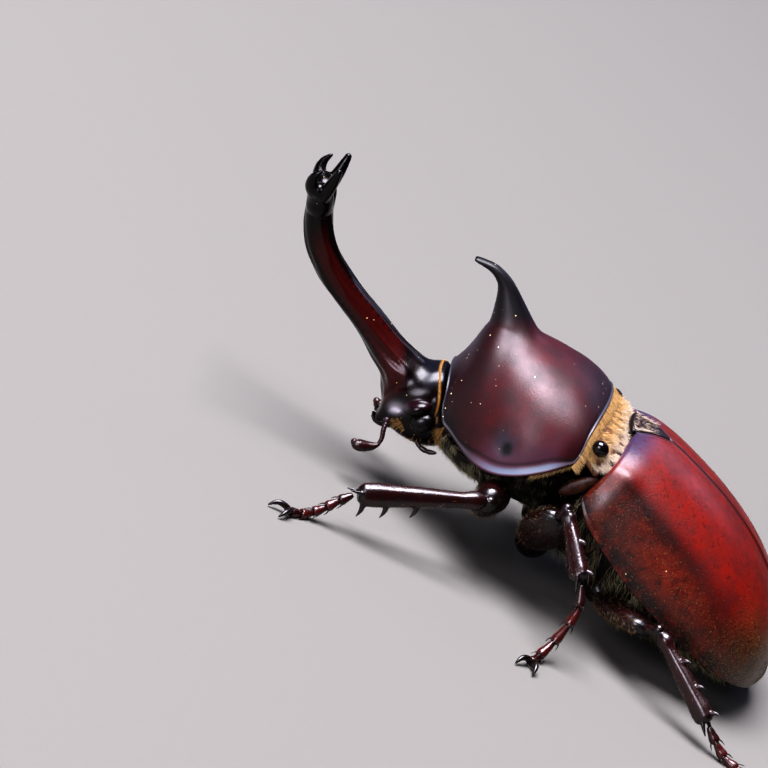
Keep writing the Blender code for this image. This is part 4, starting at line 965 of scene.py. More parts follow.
trunk = {
    "prosternum": (((-18.2, 3.4, -15.9, -16.3, -18.3), (-16.5, 5.6, -15.9, -16.2, -19.1),
                    (-14.0, 7.4, -15.3, -15.6, -19.3), (-11.5, 8.6, -13.9, -14.3, -19.0),
                    (-9.0, 8.9, -10.6, -11.4, -18.4), (-7.0, 8.8, -8.2, -9.2, -17.6),
                    (-5.2, 8.4, -7.6, -8.6, -16.8), (-4.3, 8.0, -7.8, -8.8, -16.3)), (2.0, 1.25), ()),
    "mesothorax": (((-8.3, 9.0, -2.3, -5.4, -6.9), (-6.6, 9.3, -2.05, -5.7, -7.1),
                    (-5.3, 9.5, -2.0, -5.9, -7.3), (-4.1, 9.7, -2.25, -6.1, -7.35)), (2.4, 1.6), ()),
    "metathorax": (((-3.95, 8.6, -2.9, -8.6, -16.6), (-2.0, 10.3, -1.9, -9.4, -17.4),
                    (1.0, 11.0, -1.3, -10.1, -17.6), (4.0, 11.3, -1.1, -10.6, -17.4),
                    (7.0, 11.4, -1.2, -10.9, -17.0), (10.6, 11.5, -1.6, -11.1, -16.4)), (2.4, 1.3), (1.6,)),
    "abdomen": (((10.85, 11.8, -1.65, -11.1, -16.5), (13.0, 11.8, -2.0, -11.1, -16.0),
                 (13.3, 11.6, -2.1, -11.1, -15.6), (15.6, 11.5, -2.6, -11.1, -15.3),
                 (15.9, 11.3, -2.7, -11.1, -14.9), (18.2, 10.9, -3.9, -11.1, -14.7),
                 (18.5, 10.7, -4.0, -11.1, -14.3), (20.8, 9.4, -5.4, -11.0, -14.0),
                 (22.6, 7.7, -7.1, -11.0, -13.4)), (2.4, 1.8), (13.1, 15.7, 18.3, 20.9)),
    "pygidium": (((22.85, 7.3, -7.6, -10.8, -13.2), (23.7, 6.2, -8.7, -10.9, -12.9),
                  (24.4, 4.4, -9.6, -11.0, -12.4)), (2.2, 2.0), ()),
}


# makeTrunk: rings of one section, pinched at its seams, with its ends drawn in round
def makeTrunk(name):
    stations, roundness, seams = trunk[name]
    curve = smoothThrough(stations, 0.15)
    first, last = stations[0][0], stations[-1][0]
    behind = np.linspace(first, last, int((last - first) / 0.16) + 12)
    turn = around(180)
    rings = trunkPoint(curve, roundness, *crossed(behind, turn))
    centre = rings.mean(axis=1, keepdims=True)
    scale = 1.0 - 0.05 * bump(behind, first, 0.25) - 0.05 * bump(behind, last, 0.25)
    for seam in seams:
        scale = scale - 0.022 * bump(behind, seam, 0.16)
    rings = centre + (rings - centre) * np.array((1.0, 0.0, 1.0)) * scale[:, None, None] + (
        (rings - centre) * np.array((0.0, 1.0, 0.0)))
    dark = np.zeros(len(behind))
    pale = np.zeros(len(behind))
    for seam in seams:
        dark = dark + bump(behind, seam, 0.14)
        pale = pale + bump(behind, seam - 0.32, 0.12)
    marks = {"seamDark": np.append(np.repeat(dark, len(turn)), (0.0, 0.0)),
             "seamPale": np.append(np.repeat(0.7 * pale, len(turn)), (0.0, 0.0))}
    return rings, marks


for name in trunk:
    rings, marks = makeTrunk(name)
    onTop = name == "mesothorax"              # the nape, seen from above behind the thorax shield
    addPiece(name + "_plates", carried(ringSkin(rings), "body"), finishes["nape" if onTop else "under"],
             (name,), {} if onTop else marks)

# hinge knob at the root of each wing case, and the small plate under it
for side, name in ((1.0, "left"), (-1.0, "right")):
    knob = ringSkin(ball((side * 9.0, -6.15, -3.65), (0.85, 0.95, 0.85)))
    addPiece("hinge_knob_" + name, carried(knob, "body"), finishes["knob"])
    lobe = ringSkin(ball((side * 9.2, -4.7, -8.2), (0.5, 0.8, 2.3), turnAboutX(-22.0)))
    addPiece("side_plate_" + name, carried(lobe, "body"), finishes["sidePlate"])
print("trunk made")


# head with its forked horn

skull = {
    # ahead of the head's centre, half width, top, widest level, bottom
    "sections": ((-3.9, 3.6, 2.3, -2.4, -5.6), (-3.0, 4.0, 2.55, -2.1, -6.3), (-1.4, 4.3, 2.6, -1.6, -6.6),
                 (0.6, 4.1, 2.3, -1.4, -6.1), (2.2, 3.5, 1.5, -1.6, -4.9), (3.2, 3.0, 0.2, -1.8, -3.8),
                 (3.9, 2.6, -1.2, -2.1, -3.1), (4.4, 2.3, -1.8, -2.2, -2.7)),
    "roundness": (2.6, 2.0),
    # horn, in the trunk's frame: front ahead and up, rear ahead and up, half width
    "horn": ((23.3, -21.2, 22.0, -19.6, 2.0), (23.75, -20.9, 21.6, -17.9, 2.5),
             (24.5, -20.1, 21.6, -16.0, 2.9), (25.5, -19.1, 22.4, -14.4, 3.25), (26.8, -18.0, 23.65, -13.55, 3.2),
             (28.6, -17.6, 25.3, -13.75, 2.6), (30.8, -16.95, 27.8, -13.85, 2.2),
             (33.6, -16.5, 31.3, -13.4, 1.85), (36.05, -16.22, 34.15, -13.17, 1.64),
             (38.2, -15.9, 36.6, -12.8, 1.5), (40.3, -15.25, 38.6, -12.3, 1.45),
             (42.3, -14.3, 40.4, -11.6, 1.45), (44.2, -12.7, 41.8, -10.6, 1.5),
             (45.3, -11.3, 42.9, -9.6, 1.6)),
    # fork, left half: left, ahead, up, radius
    "arm": ((0.0, 44.2, -10.3, 1.5), (0.75, 44.5, -9.9, 1.45), (1.0, 45.0, -9.2, 1.45),
            (1.7, 45.5, -8.7, 1.3), (2.4, 45.8, -8.4, 0.9)),
    "frontTine": ((2.0, 45.9, -8.9, 0.85), (2.7, 46.8, -8.4, 0.72), (3.25, 47.3, -7.4, 0.48),
                  (3.45, 47.2, -6.3, 0.2)),
    "rearTine": ((2.0, 45.1, -8.6, 0.9), (2.6, 45.2, -7.6, 0.75), (3.05, 45.5, -6.3, 0.6),
                 (3.4, 45.85, -5.1, 0.4)),
    # lumps of the left side, centre and radii: brow over the eye, cheek ahead of it, temple behind it
    "lumps": (((4.15, 0.75, -1.05), (1.15, 1.45, 0.8)), ((3.1, -1.5, -1.5), (1.0, 1.3, 0.8)),
              ((3.2, 2.6, -1.4), (1.1, 1.3, 1.8))),
    # left tooth and whole front edge over the mouth: left, behind, up, radius
    "tooth": ((1.0, -3.6, -2.2, 0.6), (1.15, -4.4, -2.3, 0.45), (1.3, -5.0, -2.25, 0.2)),
    "frontEdge": ((-2.5, -3.9, -2.2, 0.3), (-1.3, -4.35, -2.3, 0.32), (0.0, -4.3, -2.3, 0.32),
                  (1.3, -4.35, -2.3, 0.32), (2.5, -3.9, -2.2, 0.3)),
    "ridge": 0.07,                            # height of the long wrinkles down the horn, share of its size
    "voxel": 0.1, "smoothing": 12,
    "fold": ((1.4, 2.2), 1.2, 150),           # fold behind the horn: its line, the width eased and the rounds
}
skullCurve = smoothThrough(skull["sections"], 0.15)


# skullPoint: a point of the head's capsule, forward is 0 at its back and 1 at its front; the trunk's formula
def skullPoint(forward, turn):
    first, last = skull["sections"][0][0], skull["sections"][-1][0]
    points = trunkPoint(skullCurve, skull["roundness"], first + (last - first) * forward, turn)
    return points * (1.0, -1.0, 1.0)


# hornRings: ellipses between the horn's front and rear outline, with shallow long ridges round them
def hornRings(count, sides):
    curve = smoothThrough([(i, *row) for i, row in enumerate(skull["horn"])], 0.25)
    stops = np.linspace(0.0, len(skull["horn"]) - 1.0, count)
    frontAhead, frontUp, rearAhead, rearUp, half = curve(stops).T[:, :, None]
    turn = around(sides)[None]
    swell = 1.0 + skull["ridge"] * (np.cos(7.0 * turn + 1.5 * np.sin(stops[:, None])) * 0.5
                                    + np.cos(11.0 * turn + 2.0 * stops[:, None]) * 0.25)
    x = half * swell * np.sin(turn)
    ahead = (frontAhead + rearAhead) / 2.0 + (frontAhead - rearAhead) / 2.0 * swell * np.cos(turn)
    up = (frontUp + rearUp) / 2.0 + (frontUp - rearUp) / 2.0 * swell * np.cos(turn)
    return np.stack([x, -ahead, up], axis=-1), curve(stops)


# headParts: overlapping closed skins of capsule, horn, fork, brows and toothed front edge, in the world
def headParts():
    capsule = skullPoint(*crossed(np.linspace(0.0, 1.0, 90), around(96)))
    horn, chords = hornRings(160, 96)
    parts = [(capsule, "head"), (horn, "body")]
    for side in (1.0, -1.0):
        for tine in ("arm", "frontTine", "rearTine"):
            path = alongPath([(side * x, -ahead, up, r) for x, ahead, up, r in skull[tine]], 24)
            parts.append((tube(path, 32, across=(1.0, 0.3, 0.2)), "body"))
            end = path[-1]
            parts.append((ball(end[:3], (end[3],) * 3, rows=12, columns=16), "body"))
        for (x, y, z), radii in skull["lumps"]:
            parts.append((ball((side * x, y, z), radii), "head"))
        tooth = alongPath([(side * x, y, z, r) for x, y, z, r in skull["tooth"]], 10)
        parts.append((tube(tooth, 16, across=(1.0, 0.0, 0.0)), "head"))
    parts.append((tube(alongPath(skull["frontEdge"], 30), 16), "head"))
    return [carried(ringSkin(rings), part) for rings, part in parts], chords


headSkins, hornChords = headParts()
headSkin = easedNear(fused(headSkins, skull["voxel"], skull["smoothing"]), "head", *skull["fold"])
inBody = local(headSkin[0], "body")
inHead = local(headSkin[0], "head")
ahead, up = -inBody[:, 1], inBody[:, 2]
middles = (hornChords[:, :2] + hornChords[:, 2:4]) / 2.0
halves = (hornChords[:, :2] - hornChords[:, 2:4]) / 2.0
apart = (ahead[:, None] - middles[::4, 0]) ** 2 + (up[:, None] - middles[::4, 1]) ** 2
nearest = 4 * np.argmin(apart, axis=1)
fromMiddle = np.column_stack([ahead, up]) - middles[nearest]
foreAft = (fromMiddle * halves[nearest]).sum(axis=1) / (halves[nearest] ** 2).sum(axis=1)
hornward = stepUp(ahead, 23.6, 25.0) * stepUp(-inHead[:, 1], -0.2, 0.8)
nearBase = 1.0 - stepUp(ahead, 25.5, 29.0)
browMask = stepUp(1.25 - np.sqrt(((np.abs(inHead[:, 0]) - 4.1) / 1.0) ** 2 + ((inHead[:, 1] - 0.8) / 1.3) ** 2
                                 + ((inHead[:, 2] + 0.85) / 0.95) ** 2), 0.0, 0.25)
alongCollar = inHead[:, 1] + 0.85 * np.clip((2.4 - inHead[:, 2]) / 4.4, 0.0, 1.0) ** 3
headMarks = {
    "hornRed": (hornward * (1.0 - stepUp(ahead, 40.5, 44.0))
                * stepUp(foreAft, -0.85 - 0.3 * nearBase, -0.55 - 0.3 * nearBase)
                * (1.0 - stepUp(foreAft, 0.15 + 0.5 * nearBase, 0.5 + 0.5 * nearBase))
                * stepUp(np.abs(inBody[:, 0]), 0.5, 1.0)),
    "polished": 0.9 * np.clip(stepUp(-inHead[:, 1], -0.9, -1.9) * stepUp(inHead[:, 2], 0.0, 1.0) + browMask,
                              0.0, 1.0),
    "hornTip": stepUp(ahead, 42.0, 44.5),
    "smoothTop": stepUp(-inHead[:, 1], -1.2, -2.2) * stepUp(inHead[:, 2], 0.6, 1.4),
    "canthus": browMask,
    # a painted pale highlight on the cheek ahead of the eye
    "litFacet": (0.8 * np.exp(-((inHead[:, 1] + 1.7) / 0.9) ** 2 - ((inHead[:, 2] + 0.9) / 0.6) ** 2)
                 * stepUp(np.abs(inHead[:, 0]), 2.5, 3.5)),
    "collar": 0.8 * bump(alongCollar, 3.35, 0.11) * stepUp(inHead[:, 2], -2.6, -1.6),
}
addPiece("head_capsule_and_horn", headSkin, finishes["horn"],
         ("head", "head_horn_lower", "head_horn_upper", "head_horn_fork_left", "head_horn_fork_right"),
         headMarks)

# eyes: slightly flattened domes, seen between brow and cheek
for side, name in ((1.0, "left"), (-1.0, "right")):
    centre = np.array(posture["eye"]) * (side, 1.0, 1.0)
    skin = ringSkin(ball(centre - (side * 0.15, 0.0, -0.2), (1.08, 1.42, 1.16), rows=60, columns=80))
    rim = stepUp(np.abs(skin[0][:, 0]), 4.4, 4.0)
    addPiece("eye_dome_" + name, carried(skin, "head"), finishes["eye"], ("eye_" + name,),
             {"eyeRim": rim})

# feelers: a first joint, small beads and a club of three leaves; jaws and palps below the mouth
mouth = {
    # left side, in the trunk's frame: left, behind, up, radius
    "stalk": ((3.9, -22.7, -20.2, 0.36), (4.45, -22.4, -20.9, 0.44), (5.0, -21.7, -21.9, 0.36),
              (5.2, -21.6, -22.35, 0.3)),
    "club": ((5.2, -21.55, -22.4, 0.2), (5.32, -21.8, -22.85, 0.42), (5.5, -22.3, -23.35, 0.6),
             (5.8, -22.9, -23.75, 0.7), (5.98, -23.35, -23.9, 0.64), (6.05, -23.65, -23.85, 0.4)),
    "mandible": ((1.9, -21.9, -20.9, 0.42), (1.9, -22.7, -21.4, 0.52), (1.6, -23.4, -21.75, 0.42),
                 (1.15, -23.9, -21.65, 0.2)),
    "palp": ((2.4, -18.9, -19.9, 0.28), (2.8, -18.1, -20.0, 0.33), (3.1, -17.2, -19.7, 0.36),
             (3.3, -16.5, -19.1, 0.26)),
    "seamDepth": 0.05,
    "liftRight": 1.0,                         # the right feeler is held this much higher at its end, mm
}


# beaded: a path's thickness, full in the middle of each joint and less by a share of depth between two
def beaded(path, joints, depth):
    path = path.copy()
    s = np.linspace(0.0, joints, len(path))
    path[:, 3] *= 1.0 - depth * (1.0 - np.abs(np.sin(math.pi * s))) ** 2
    return path


for side, name in ((1.0, "left"), (-1.0, "right")):
    mirrored = lambda rows: [(side * x, y, z, r) for x, y, z, r in rows]
    lift = mouth["liftRight"] * (side < 0.0)
    raised = lambda rows, first, last: [
        (side * x, y, z + lift * min(first + (last - first) * i / (len(rows) - 1.0), 1.0), r)
        for i, (x, y, z, r) in enumerate(rows)]
    beads = beaded(alongPath(raised(mouth["stalk"], 0.0, 1.0), 90), 8, 0.12) * (1.0, 1.0, 1.0, 0.66)
    stalk = joined([ringSkin(tube(capped(beads), 24)),
                    ringSkin(ball((side * 3.95, -22.75, -20.25), (0.35, 0.4, 0.38)))])
    # a painted glint on the knob of the first joint
    addPiece("feeler_stalk_" + name, carried(stalk, "body"), finishes["feeler"],
             ("antenna_stalk_" + name,), {"knobLight": 0.35 * bump(stalk[0][:, 2], -20.2, 0.4)})
    path = alongPath(raised(mouth["club"], 1.0, 1.0), 60)
    path = capped(np.column_stack([path[:, :3], path[:, 3] * 0.92, path[:, 3]]))
    rings = tube(path, 64, across=(side, 0.5, 0.3))
    seam = bump(np.abs(np.sin(around(64))), 0.36, 0.07)      # two seams on each face part the leaves
    centre = rings.mean(axis=1, keepdims=True)
    club = ringSkin(centre + (rings - centre) * (1.0 - mouth["seamDepth"] * seam)[None, :, None])
    addPiece("feeler_club_" + name, carried(club, "body"), finishes["feeler"],
             ("antenna_club_" + name,))
    jaw = ringSkin(tube(capped(alongPath(mirrored(mouth["mandible"]), 60)), 28, (1.0, 0.0, 0.0)))
    addPiece("jaw_" + name, carried(jaw, "body"), finishes["knob"], ("mandible_" + name,))
    palp = beaded(alongPath(mirrored(mouth["palp"]), 60), 3, 0.2) * (1.0, 1.0, 1.0, 0.8)
    palp = ringSkin(tube(capped(palp), 28, (1.0, 0.0, 0.0)))
    addPiece("mouth_feeler_" + name, carried(palp, "body"), finishes["feeler"], ("palp_" + name,))
print("head made")


# legs

legs = {
    "front": {
        "coxa": ((2.4, -13.3, 5.9), (6.1, -13.8, 7.1), 1.9, 1.9),
        "femur": ((6.4, -13.9, 7.2), (13.1, -14.35, 9.0), 2.2, 1.7), "breadth": (0.0, 0.25, 1.0),
        "tibia": ((13.9, -14.4, 9.2), (18.7, -26.7, 4.3), 1.15, 0.95),
        "tarsus": ((18.9, -27.1, 4.0), (19.7, -28.2, 2.7), (20.5, -29.3, 1.3), (21.5, -30.5, 0.42),
                   (22.9, -31.9, 0.36)),
        "teeth": ((0.55, 1.0), (0.78, 1.2), (0.96, 1.2)), "teethToward": (0.35, 0.0, -1.0),
        "turnRight": -14.0},
    "middle": {
        "coxa": ((2.6, -7.1, 4.2), (6.6, -7.5, 5.0), 1.9, 1.9),
        "femur": ((6.9, -7.6, 5.2), (13.3, -7.3, 11.6), 2.4, 1.45), "breadth": (0.1, 1.0, 0.15),
        "tibia": ((13.7, -6.8, 12.8), (18.5, -2.3, 8.7), 0.98, 0.85),
        "tarsus": ((18.7, -1.9, 8.3), (19.5, -0.9, 6.3), (20.4, -1.0, 4.0), (21.6, -1.6, 1.5),
                   (22.9, -2.2, 0.4), (24.6, -2.6, 0.36)),
        "teeth": ((0.5, 0.35), (0.94, 0.6)), "teethToward": (0.5, 1.0, 0.3),
        "turnRight": 5.0},
    "hind": {
        "coxa": ((2.6, 1.4, 3.7), (6.4, 2.1, 3.7), 1.8, 1.7),
        "femur": ((6.7, 2.3, 3.6), (14.6, 7.0, 6.2), 2.5, 1.3), "breadth": (-0.4, 1.0, 0.0),
        "tibia": ((15.7, 8.1, 7.2), (19.8, 16.9, 2.7), 1.05, 0.9),
        "tarsus": ((20.0, 17.3, 2.5), (20.3, 18.9, 1.4), (20.6, 20.7, 0.5), (20.9, 22.9, 0.36),
                   (21.3, 25.4, 0.36)),
        "teeth": ((0.38, 0.55), (0.66, 0.6), (0.95, 0.7)), "teethToward": (0.5, 1.0, 0.3),
        "turnRight": -4.0},
}
limbShape = {
    # place along, share of the breadth, share of the thickness
    "coxa": ((0.0, 0.3, 0.3), (0.06, 0.6, 0.6), (0.2, 0.9, 0.9), (0.55, 1.0, 1.0), (0.85, 0.72, 0.72),
             (1.0, 0.35, 0.35)),
    "femur": ((0.0, 0.25, 0.3), (0.03, 0.45, 0.5), (0.12, 0.74, 0.8), (0.35, 1.0, 1.0), (0.6, 0.98, 1.0),
              (0.85, 0.72, 0.8), (0.96, 0.5, 0.55), (1.0, 0.25, 0.3)),
    "tibia": ((0.0, 0.25, 0.3), (0.02, 0.5, 0.55), (0.07, 0.82, 0.85), (0.2, 0.75, 0.78), (0.36, 0.85, 0.85),
              (0.5, 0.95, 0.9), (0.64, 1.0, 0.92), (0.76, 1.05, 0.95), (0.9, 1.1, 1.0), (0.97, 0.95, 0.9),
              (1.0, 0.6, 0.6)),
    # place along, radius of one joint of the foot
    "footJoint": ((0.0, 0.26), (0.12, 0.34), (0.45, 0.46), (0.8, 0.57), (0.92, 0.52), (1.0, 0.34)),
    # half spread, reach ahead, height, radius
    "claw": ((0.15, 0.25, 0.55, 0.36), (0.45, 0.75, 0.82, 0.33), (0.8, 1.3, 0.85, 0.29),
             (1.0, 1.85, 0.58, 0.2), (1.05, 2.3, 0.22, 0.07)),
}


# posedLeg: left-side points carried to their own side: mirrored, then turned about an upright at the hip
def posedLeg(points, side, hip, degrees):
    points = np.asarray(points, dtype=float)
    if side > 0:
        return points
    centre = np.array((-hip[0], hip[1], 0.0))
    c, s = math.cos(math.radians(degrees)), math.sin(math.radians(degrees))
    spin = np.array(((c, -s, 0.0), (s, c, 0.0), (0.0, 0.0, 1.0)))
    return (points * (-1.0, 1.0, 1.0) - centre) @ spin.T + centre


# limbAxes: start, length and the three directions of a limb part: its breadth, its thickness, and along it
def limbAxes(start, end, breadth):
    start, end, breadth = (np.array(v, dtype=float) for v in (start, end, breadth))
    length = np.linalg.norm(end - start)
    ahead = (end - start) / length
    wide = breadth - (breadth @ ahead) * ahead
    wide /= np.linalg.norm(wide)
    return start, length, wide, np.cross(ahead, wide), ahead


# limbPoint: a point of a limb part's skin, along from its joint, turn round it, slightly fluted lengthwise
def limbPoint(axes, curve, broad, thick, flute, along, turn):
    start, length, wide, lift, ahead = axes
    b, t = np.moveaxis(curve(along), -1, 0)
    swell = 1.0 + flute * np.cos(6.0 * turn)
    return (start + (along * length)[..., None] * ahead + (b * broad * swell * np.cos(turn))[..., None] * wide
            + (t * thick * swell * np.sin(turn))[..., None] * lift)


# settled: feet flattened where they meet the ground: no point is lower than it
def settled(points):
    return np.maximum(points, (-1e9, -1e9, groundLevel))


legSkins = {}
for pair, size in legs.items():
    for side, name in ((1.0, "left"), (-1.0, "right")):
        hip = size["coxa"][0]
        carry = lambda points, side=side, hip=hip, degrees=size["turnRight"]: placed(
            posedLeg(points, side, hip, degrees), "ground")
        tag = pair + "_" + name
        for limb in ("coxa", "femur"):
            start, end, broad, thick = size[limb]
            axes = limbAxes(start, end, size["breadth"])
            curve = smoothThrough(limbShape[limb], 0.01)
            skinAt = lambda along, turn, axes=axes, curve=curve, b=broad, t=thick, carry=carry: carry(
                limbPoint(axes, curve, b, t, 0.0, along, turn))
            legSkins[limb, pair, name] = skinAt
            along = np.linspace(0.0, 1.0, 64)
            skins = [ringSkin(skinAt(*crossed(along, around(56))))]
            near = np.clip(bump(along, 0.0, 0.06) + bump(along, 1.0, 0.1), 0.0, 1.0)
            near = np.append(np.repeat(near, 56), (1.0, 1.0))
            finish, slotName, mark = "hip", "underside", "seamDark"
            if limb == "femur":
                finish, slotName, mark = "limb", "leg", "jointDark"
                back = axes[0] - 0.35 * axes[4]
                skins.append(ringSkin(carry(ball(back, (0.85, 0.85, 0.85), rows=20, columns=28))))
                near = np.append(near, np.full(len(skins[-1][0]), 0.3))
            addPiece(limb + "_shell_" + tag, joined(skins), finishes[finish], (limb + "_" + tag,),
                     {mark: near})
        # tibia: fluted shaft, hooked teeth on its outer edge and two spurs at its end, melted together
        start, end, broad, thick = size["tibia"]
        axes = limbAxes(start, end, size["teethToward"])
        origin, length, wide, lift, ahead = axes
        curve = smoothThrough(limbShape["tibia"], 0.008)
        skinAt = lambda along, turn, axes=axes, curve=curve, b=broad, t=thick, carry=carry: carry(
            limbPoint(axes, curve, b, t, 0.02, along, turn))
        legSkins["tibia", pair, name] = skinAt
        parts = [ringSkin(skinAt(*crossed(np.linspace(0.0, 1.0, 90), around(48)))),
                 ringSkin(carry(ball(origin - 0.25 * ahead, (0.62, 0.62, 0.62))))]
        # the knee: a short bent neck from inside the thigh's end into the shaft
        thighStart, thighEnd = (np.array(point) for point in size["femur"][:2])
        thighWay = (thighEnd - thighStart) / np.linalg.norm(thighEnd - thighStart)
        neck = alongPath([(*(thighEnd - 0.7 * thighWay), 0.5), (*(0.5 * (thighEnd + origin)), 0.55),
                          (*(origin + 0.6 * ahead), 0.55)], 18)
        parts.append(ringSkin(carry(tube(neck, 24, across=wide))))
        for place, reach in size["teeth"]:
            root = origin + ahead * (place * length - 0.3)
            hook = alongPath([(*(root + wide * 0.2 * broad), 0.42),
                              (*(root + wide * 0.8 * broad + ahead * 0.15), 0.36),
                              (*(root + wide * (broad + 0.5 * reach) + ahead * 0.4), 0.24),
                              (*(root + wide * (broad + reach) + ahead * 0.85), 0.08)], 22)
            parts.append(ringSkin(carry(tube(hook, 20, across=ahead))))
            parts.append(ringSkin(carry(ball(hook[-1, :3], (0.08, 0.08, 0.08), rows=8, columns=10))))
        for aside in (0.55, -0.6):
            root = origin + ahead * (0.93 * length) + lift * aside * thick
            spur = alongPath([(*root, 0.3), (*(root + ahead * 0.8 + lift * aside * 0.25 - wide * 0.2), 0.24),
                              (*(root + ahead * 2.0 + lift * aside * 0.5 - wide * 0.5), 0.08)], 16)
            parts.append(ringSkin(carry(tube(spur, 16, across=wide))))
        skin = fused(parts, 0.085, 5)
        distance = np.linalg.norm(skin[0] - carry(origin), axis=1)
        near = bump(distance, 0.0, 0.9) + 0.85 * stepUp(distance, length - 0.9, length + 0.3)
        addPiece("tibia_shell_" + tag, skin, finishes["limb"], ("tibia_" + tag,),
                 {"jointDark": np.clip(near, 0.0, 1.0)})
        # foot: five beaded joints, each with four small spines round its end
        path = alongPath([(*point, 0.0) for point in size["tarsus"]], 501)
        skins, dark, red = [], [], []
        swell = smoothThrough(limbShape["footJoint"], 0.02)
        for joint in range(5):
            rows = np.clip(np.round(np.linspace(joint, joint + 1.06, 26) * 100).astype(int), 0, 500)
            piecePath = path[rows].copy()
            piecePath[-1, :3] += (path[500, :3] - path[495, :3]) * 0.2
            piecePath[:, 3] = swell(np.linspace(0.0, 1.0, 26))[:, 0]
            skins.append(ringSkin(tube(piecePath, 26)))
            dark.append(np.append(np.repeat(bump(np.linspace(0.0, 1.0, 26), 0.0, 0.2), 26), (1.0, 1.0)))
            red.append(np.full(len(skins[-1][0]), 0.8 if joint in (1, 2, 3) else 0.1))
            forward = path[rows[-3], :3] - path[rows[-8], :3]
            forward /= np.linalg.norm(forward)
            for spin in np.linspace(0.3, 2.0 * math.pi + 0.3, 5)[:-1]:
                sideways = np.cross(forward, (0.0, 0.0, 1.0))
                sideways /= np.linalg.norm(sideways)
                out = math.cos(spin) * sideways + math.sin(spin) * np.cross(sideways, forward)
                root = path[rows[-5], :3] + out * 0.42
                spine = [(*root, 0.09), (*(root + forward * 0.4 + out * 0.22), 0.07),
                         (*(root + forward * 0.85 + out * 0.3), 0.02)]
                spineSkin = ringSkin(tube(alongPath(spine, 6), 6))
                skins.append(spineSkin)
                dark.append(np.full(len(spineSkin[0]), 0.4))
                red.append(np.zeros(len(spineSkin[0])))
        skin = joined(skins)
        skin = outward(settled(carry(skin[0])), skin[1], skin[2])
        addPiece("foot_" + tag, skin, finishes["limb"], ("tarsus_" + tag,),
                 {"jointDark": np.concatenate(dark), "jointRed": np.concatenate(red)})
        # claws: a curved pair that spreads from the last joint
        flat = path[-1, :3] - path[-40, :3]
        flat = np.array((flat[0], flat[1], 0.0)) / np.hypot(flat[0], flat[1])
        out = np.array((-flat[1], flat[0], 0.0))
        foot = path[-1, :3] * (1.0, 1.0, 0.0)
        skins = []
        for spread in (1.0, -1.0):
            rows = [(*(foot + flat * reach + out * spread * aside + np.array((0.0, 0.0, height))), radius)
                    for aside, reach, height, radius in limbShape["claw"]]
            skins.append(ringSkin(tube(alongPath(rows, 30), 20)))
        skin = joined(skins)
        skin = outward(settled(carry(skin[0])), skin[1], skin[2])
        addPiece("claw_pair_" + tag, skin, finishes["limb"], ("claws_" + tag,),
                 {"jointDark": np.full(len(skin[0]), 0.7)})
print("legs made")


# hair

# partWay: a direction of a part's own frame, turned to the world
def partWay(vector, part):
    way = np.array(vector, dtype=float)
    return frames[part][0] @ (way / np.linalg.norm(way))


# surfaceOf: the skin of a trunk section in the world, u from front to rear and v once round from the top
def surfaceOf(name):
    stations, roundness, seams = trunk[name]
    curve = smoothThrough(stations, 0.15)
    first, last = stations[0][0], stations[-1][0]
    return lambda u, v: placed(trunkPoint(curve, roundness, first + (last - first) * u, tau * v), "body")


# tuftsOn: hair on a skin: roots by chance, a common comb direction, lift from the skin, stray, and sag
def tuftsOn(surface, count, uRange, vRange, middle, comb, size, lift=0.4, stray=0.15, sag=0.25, keep=None):
    roots, normal, uv = rootsOn(surface, count, uRange, vRange, middle, keep)
    way = combed(normal, comb(roots) if callable(comb) else np.tile(comb, (len(roots), 1)), lift, stray)
    length = dice.uniform(*size[:2], len(roots))
    width = dice.uniform(0.8, 1.2, len(roots)) * size[2]
    bend = np.tile((0.0, 0.0, -sag), (len(roots), 1)) + dice.normal(0.0, 0.08, (len(roots), 3))
    return roots - 0.05 * normal, way, bend, length, width, uv


# fringeOf: hair along an edge: roots spread along a run of points, all combed one way with some stray
def fringeOf(edge, count, comb, size, stray=0.12, sag=0.15, spread=0.08):
    edge = np.asarray(edge)
    length = np.concatenate([[0.0], np.cumsum(np.linalg.norm(np.diff(edge, axis=0), axis=1))])
    at = dice.uniform(0.0, length[-1], count)
    roots = np.stack([np.interp(at, length, edge[:, k]) for k in range(3)], axis=-1)
    roots = roots + dice.normal(0.0, spread, roots.shape)
    way = comb(roots) if callable(comb) else np.tile(comb, (count, 1))
    way = way + dice.normal(0.0, stray, way.shape)
    way /= np.linalg.norm(way, axis=1)[:, None]
    reach = dice.uniform(*size[:2], count)
    width = dice.uniform(0.8, 1.2, count) * size[2]
    bend = np.tile((0.0, 0.0, -sag), (count, 1)) + dice.normal(0.0, 0.07, (count, 3))
    return roots, way, bend, reach, width, np.stack([at / length[-1], np.full(count, 0.99)], axis=-1)


# tufted: leaves hair in clumps: a hair's chance steps up round a level of the mean of four crossed waves,
# which are 2.2 times the given length
def tufted(wave, level):
    def keep(points):
        total = np.zeros(len(points))
        for way in ((1.0, 0.3, 0.2), (-0.4, 1.0, 0.5), (0.3, -0.6, 1.0), (0.9, 0.7, -0.8)):
            total = total + np.sin(points @ np.array(way) * tau / (wave * 2.2) + 3.0 * way[1])
        return stepUp(total / 4.0, level - 0.45, level + 0.15)
    return keep


napeSkin = surfaceOf("mesothorax")
napeMiddle = placed((0.0, -6.0, -8.0), "body")
rearward = frames["body"][0] @ np.array((0.0, 1.0, 0.0))
downward = np.array((0.0, 0.0, -1.0))
addCoat("nape_fur", finishes["creamFur"], [
    tuftsOn(napeSkin, 9000, (0.55, 1.0), (-0.24, 0.24), napeMiddle, rearward, (0.5, 1.1, 0.045), 0.3, 0.2,
            0.1, tufted(0.8, 0.15)),
])
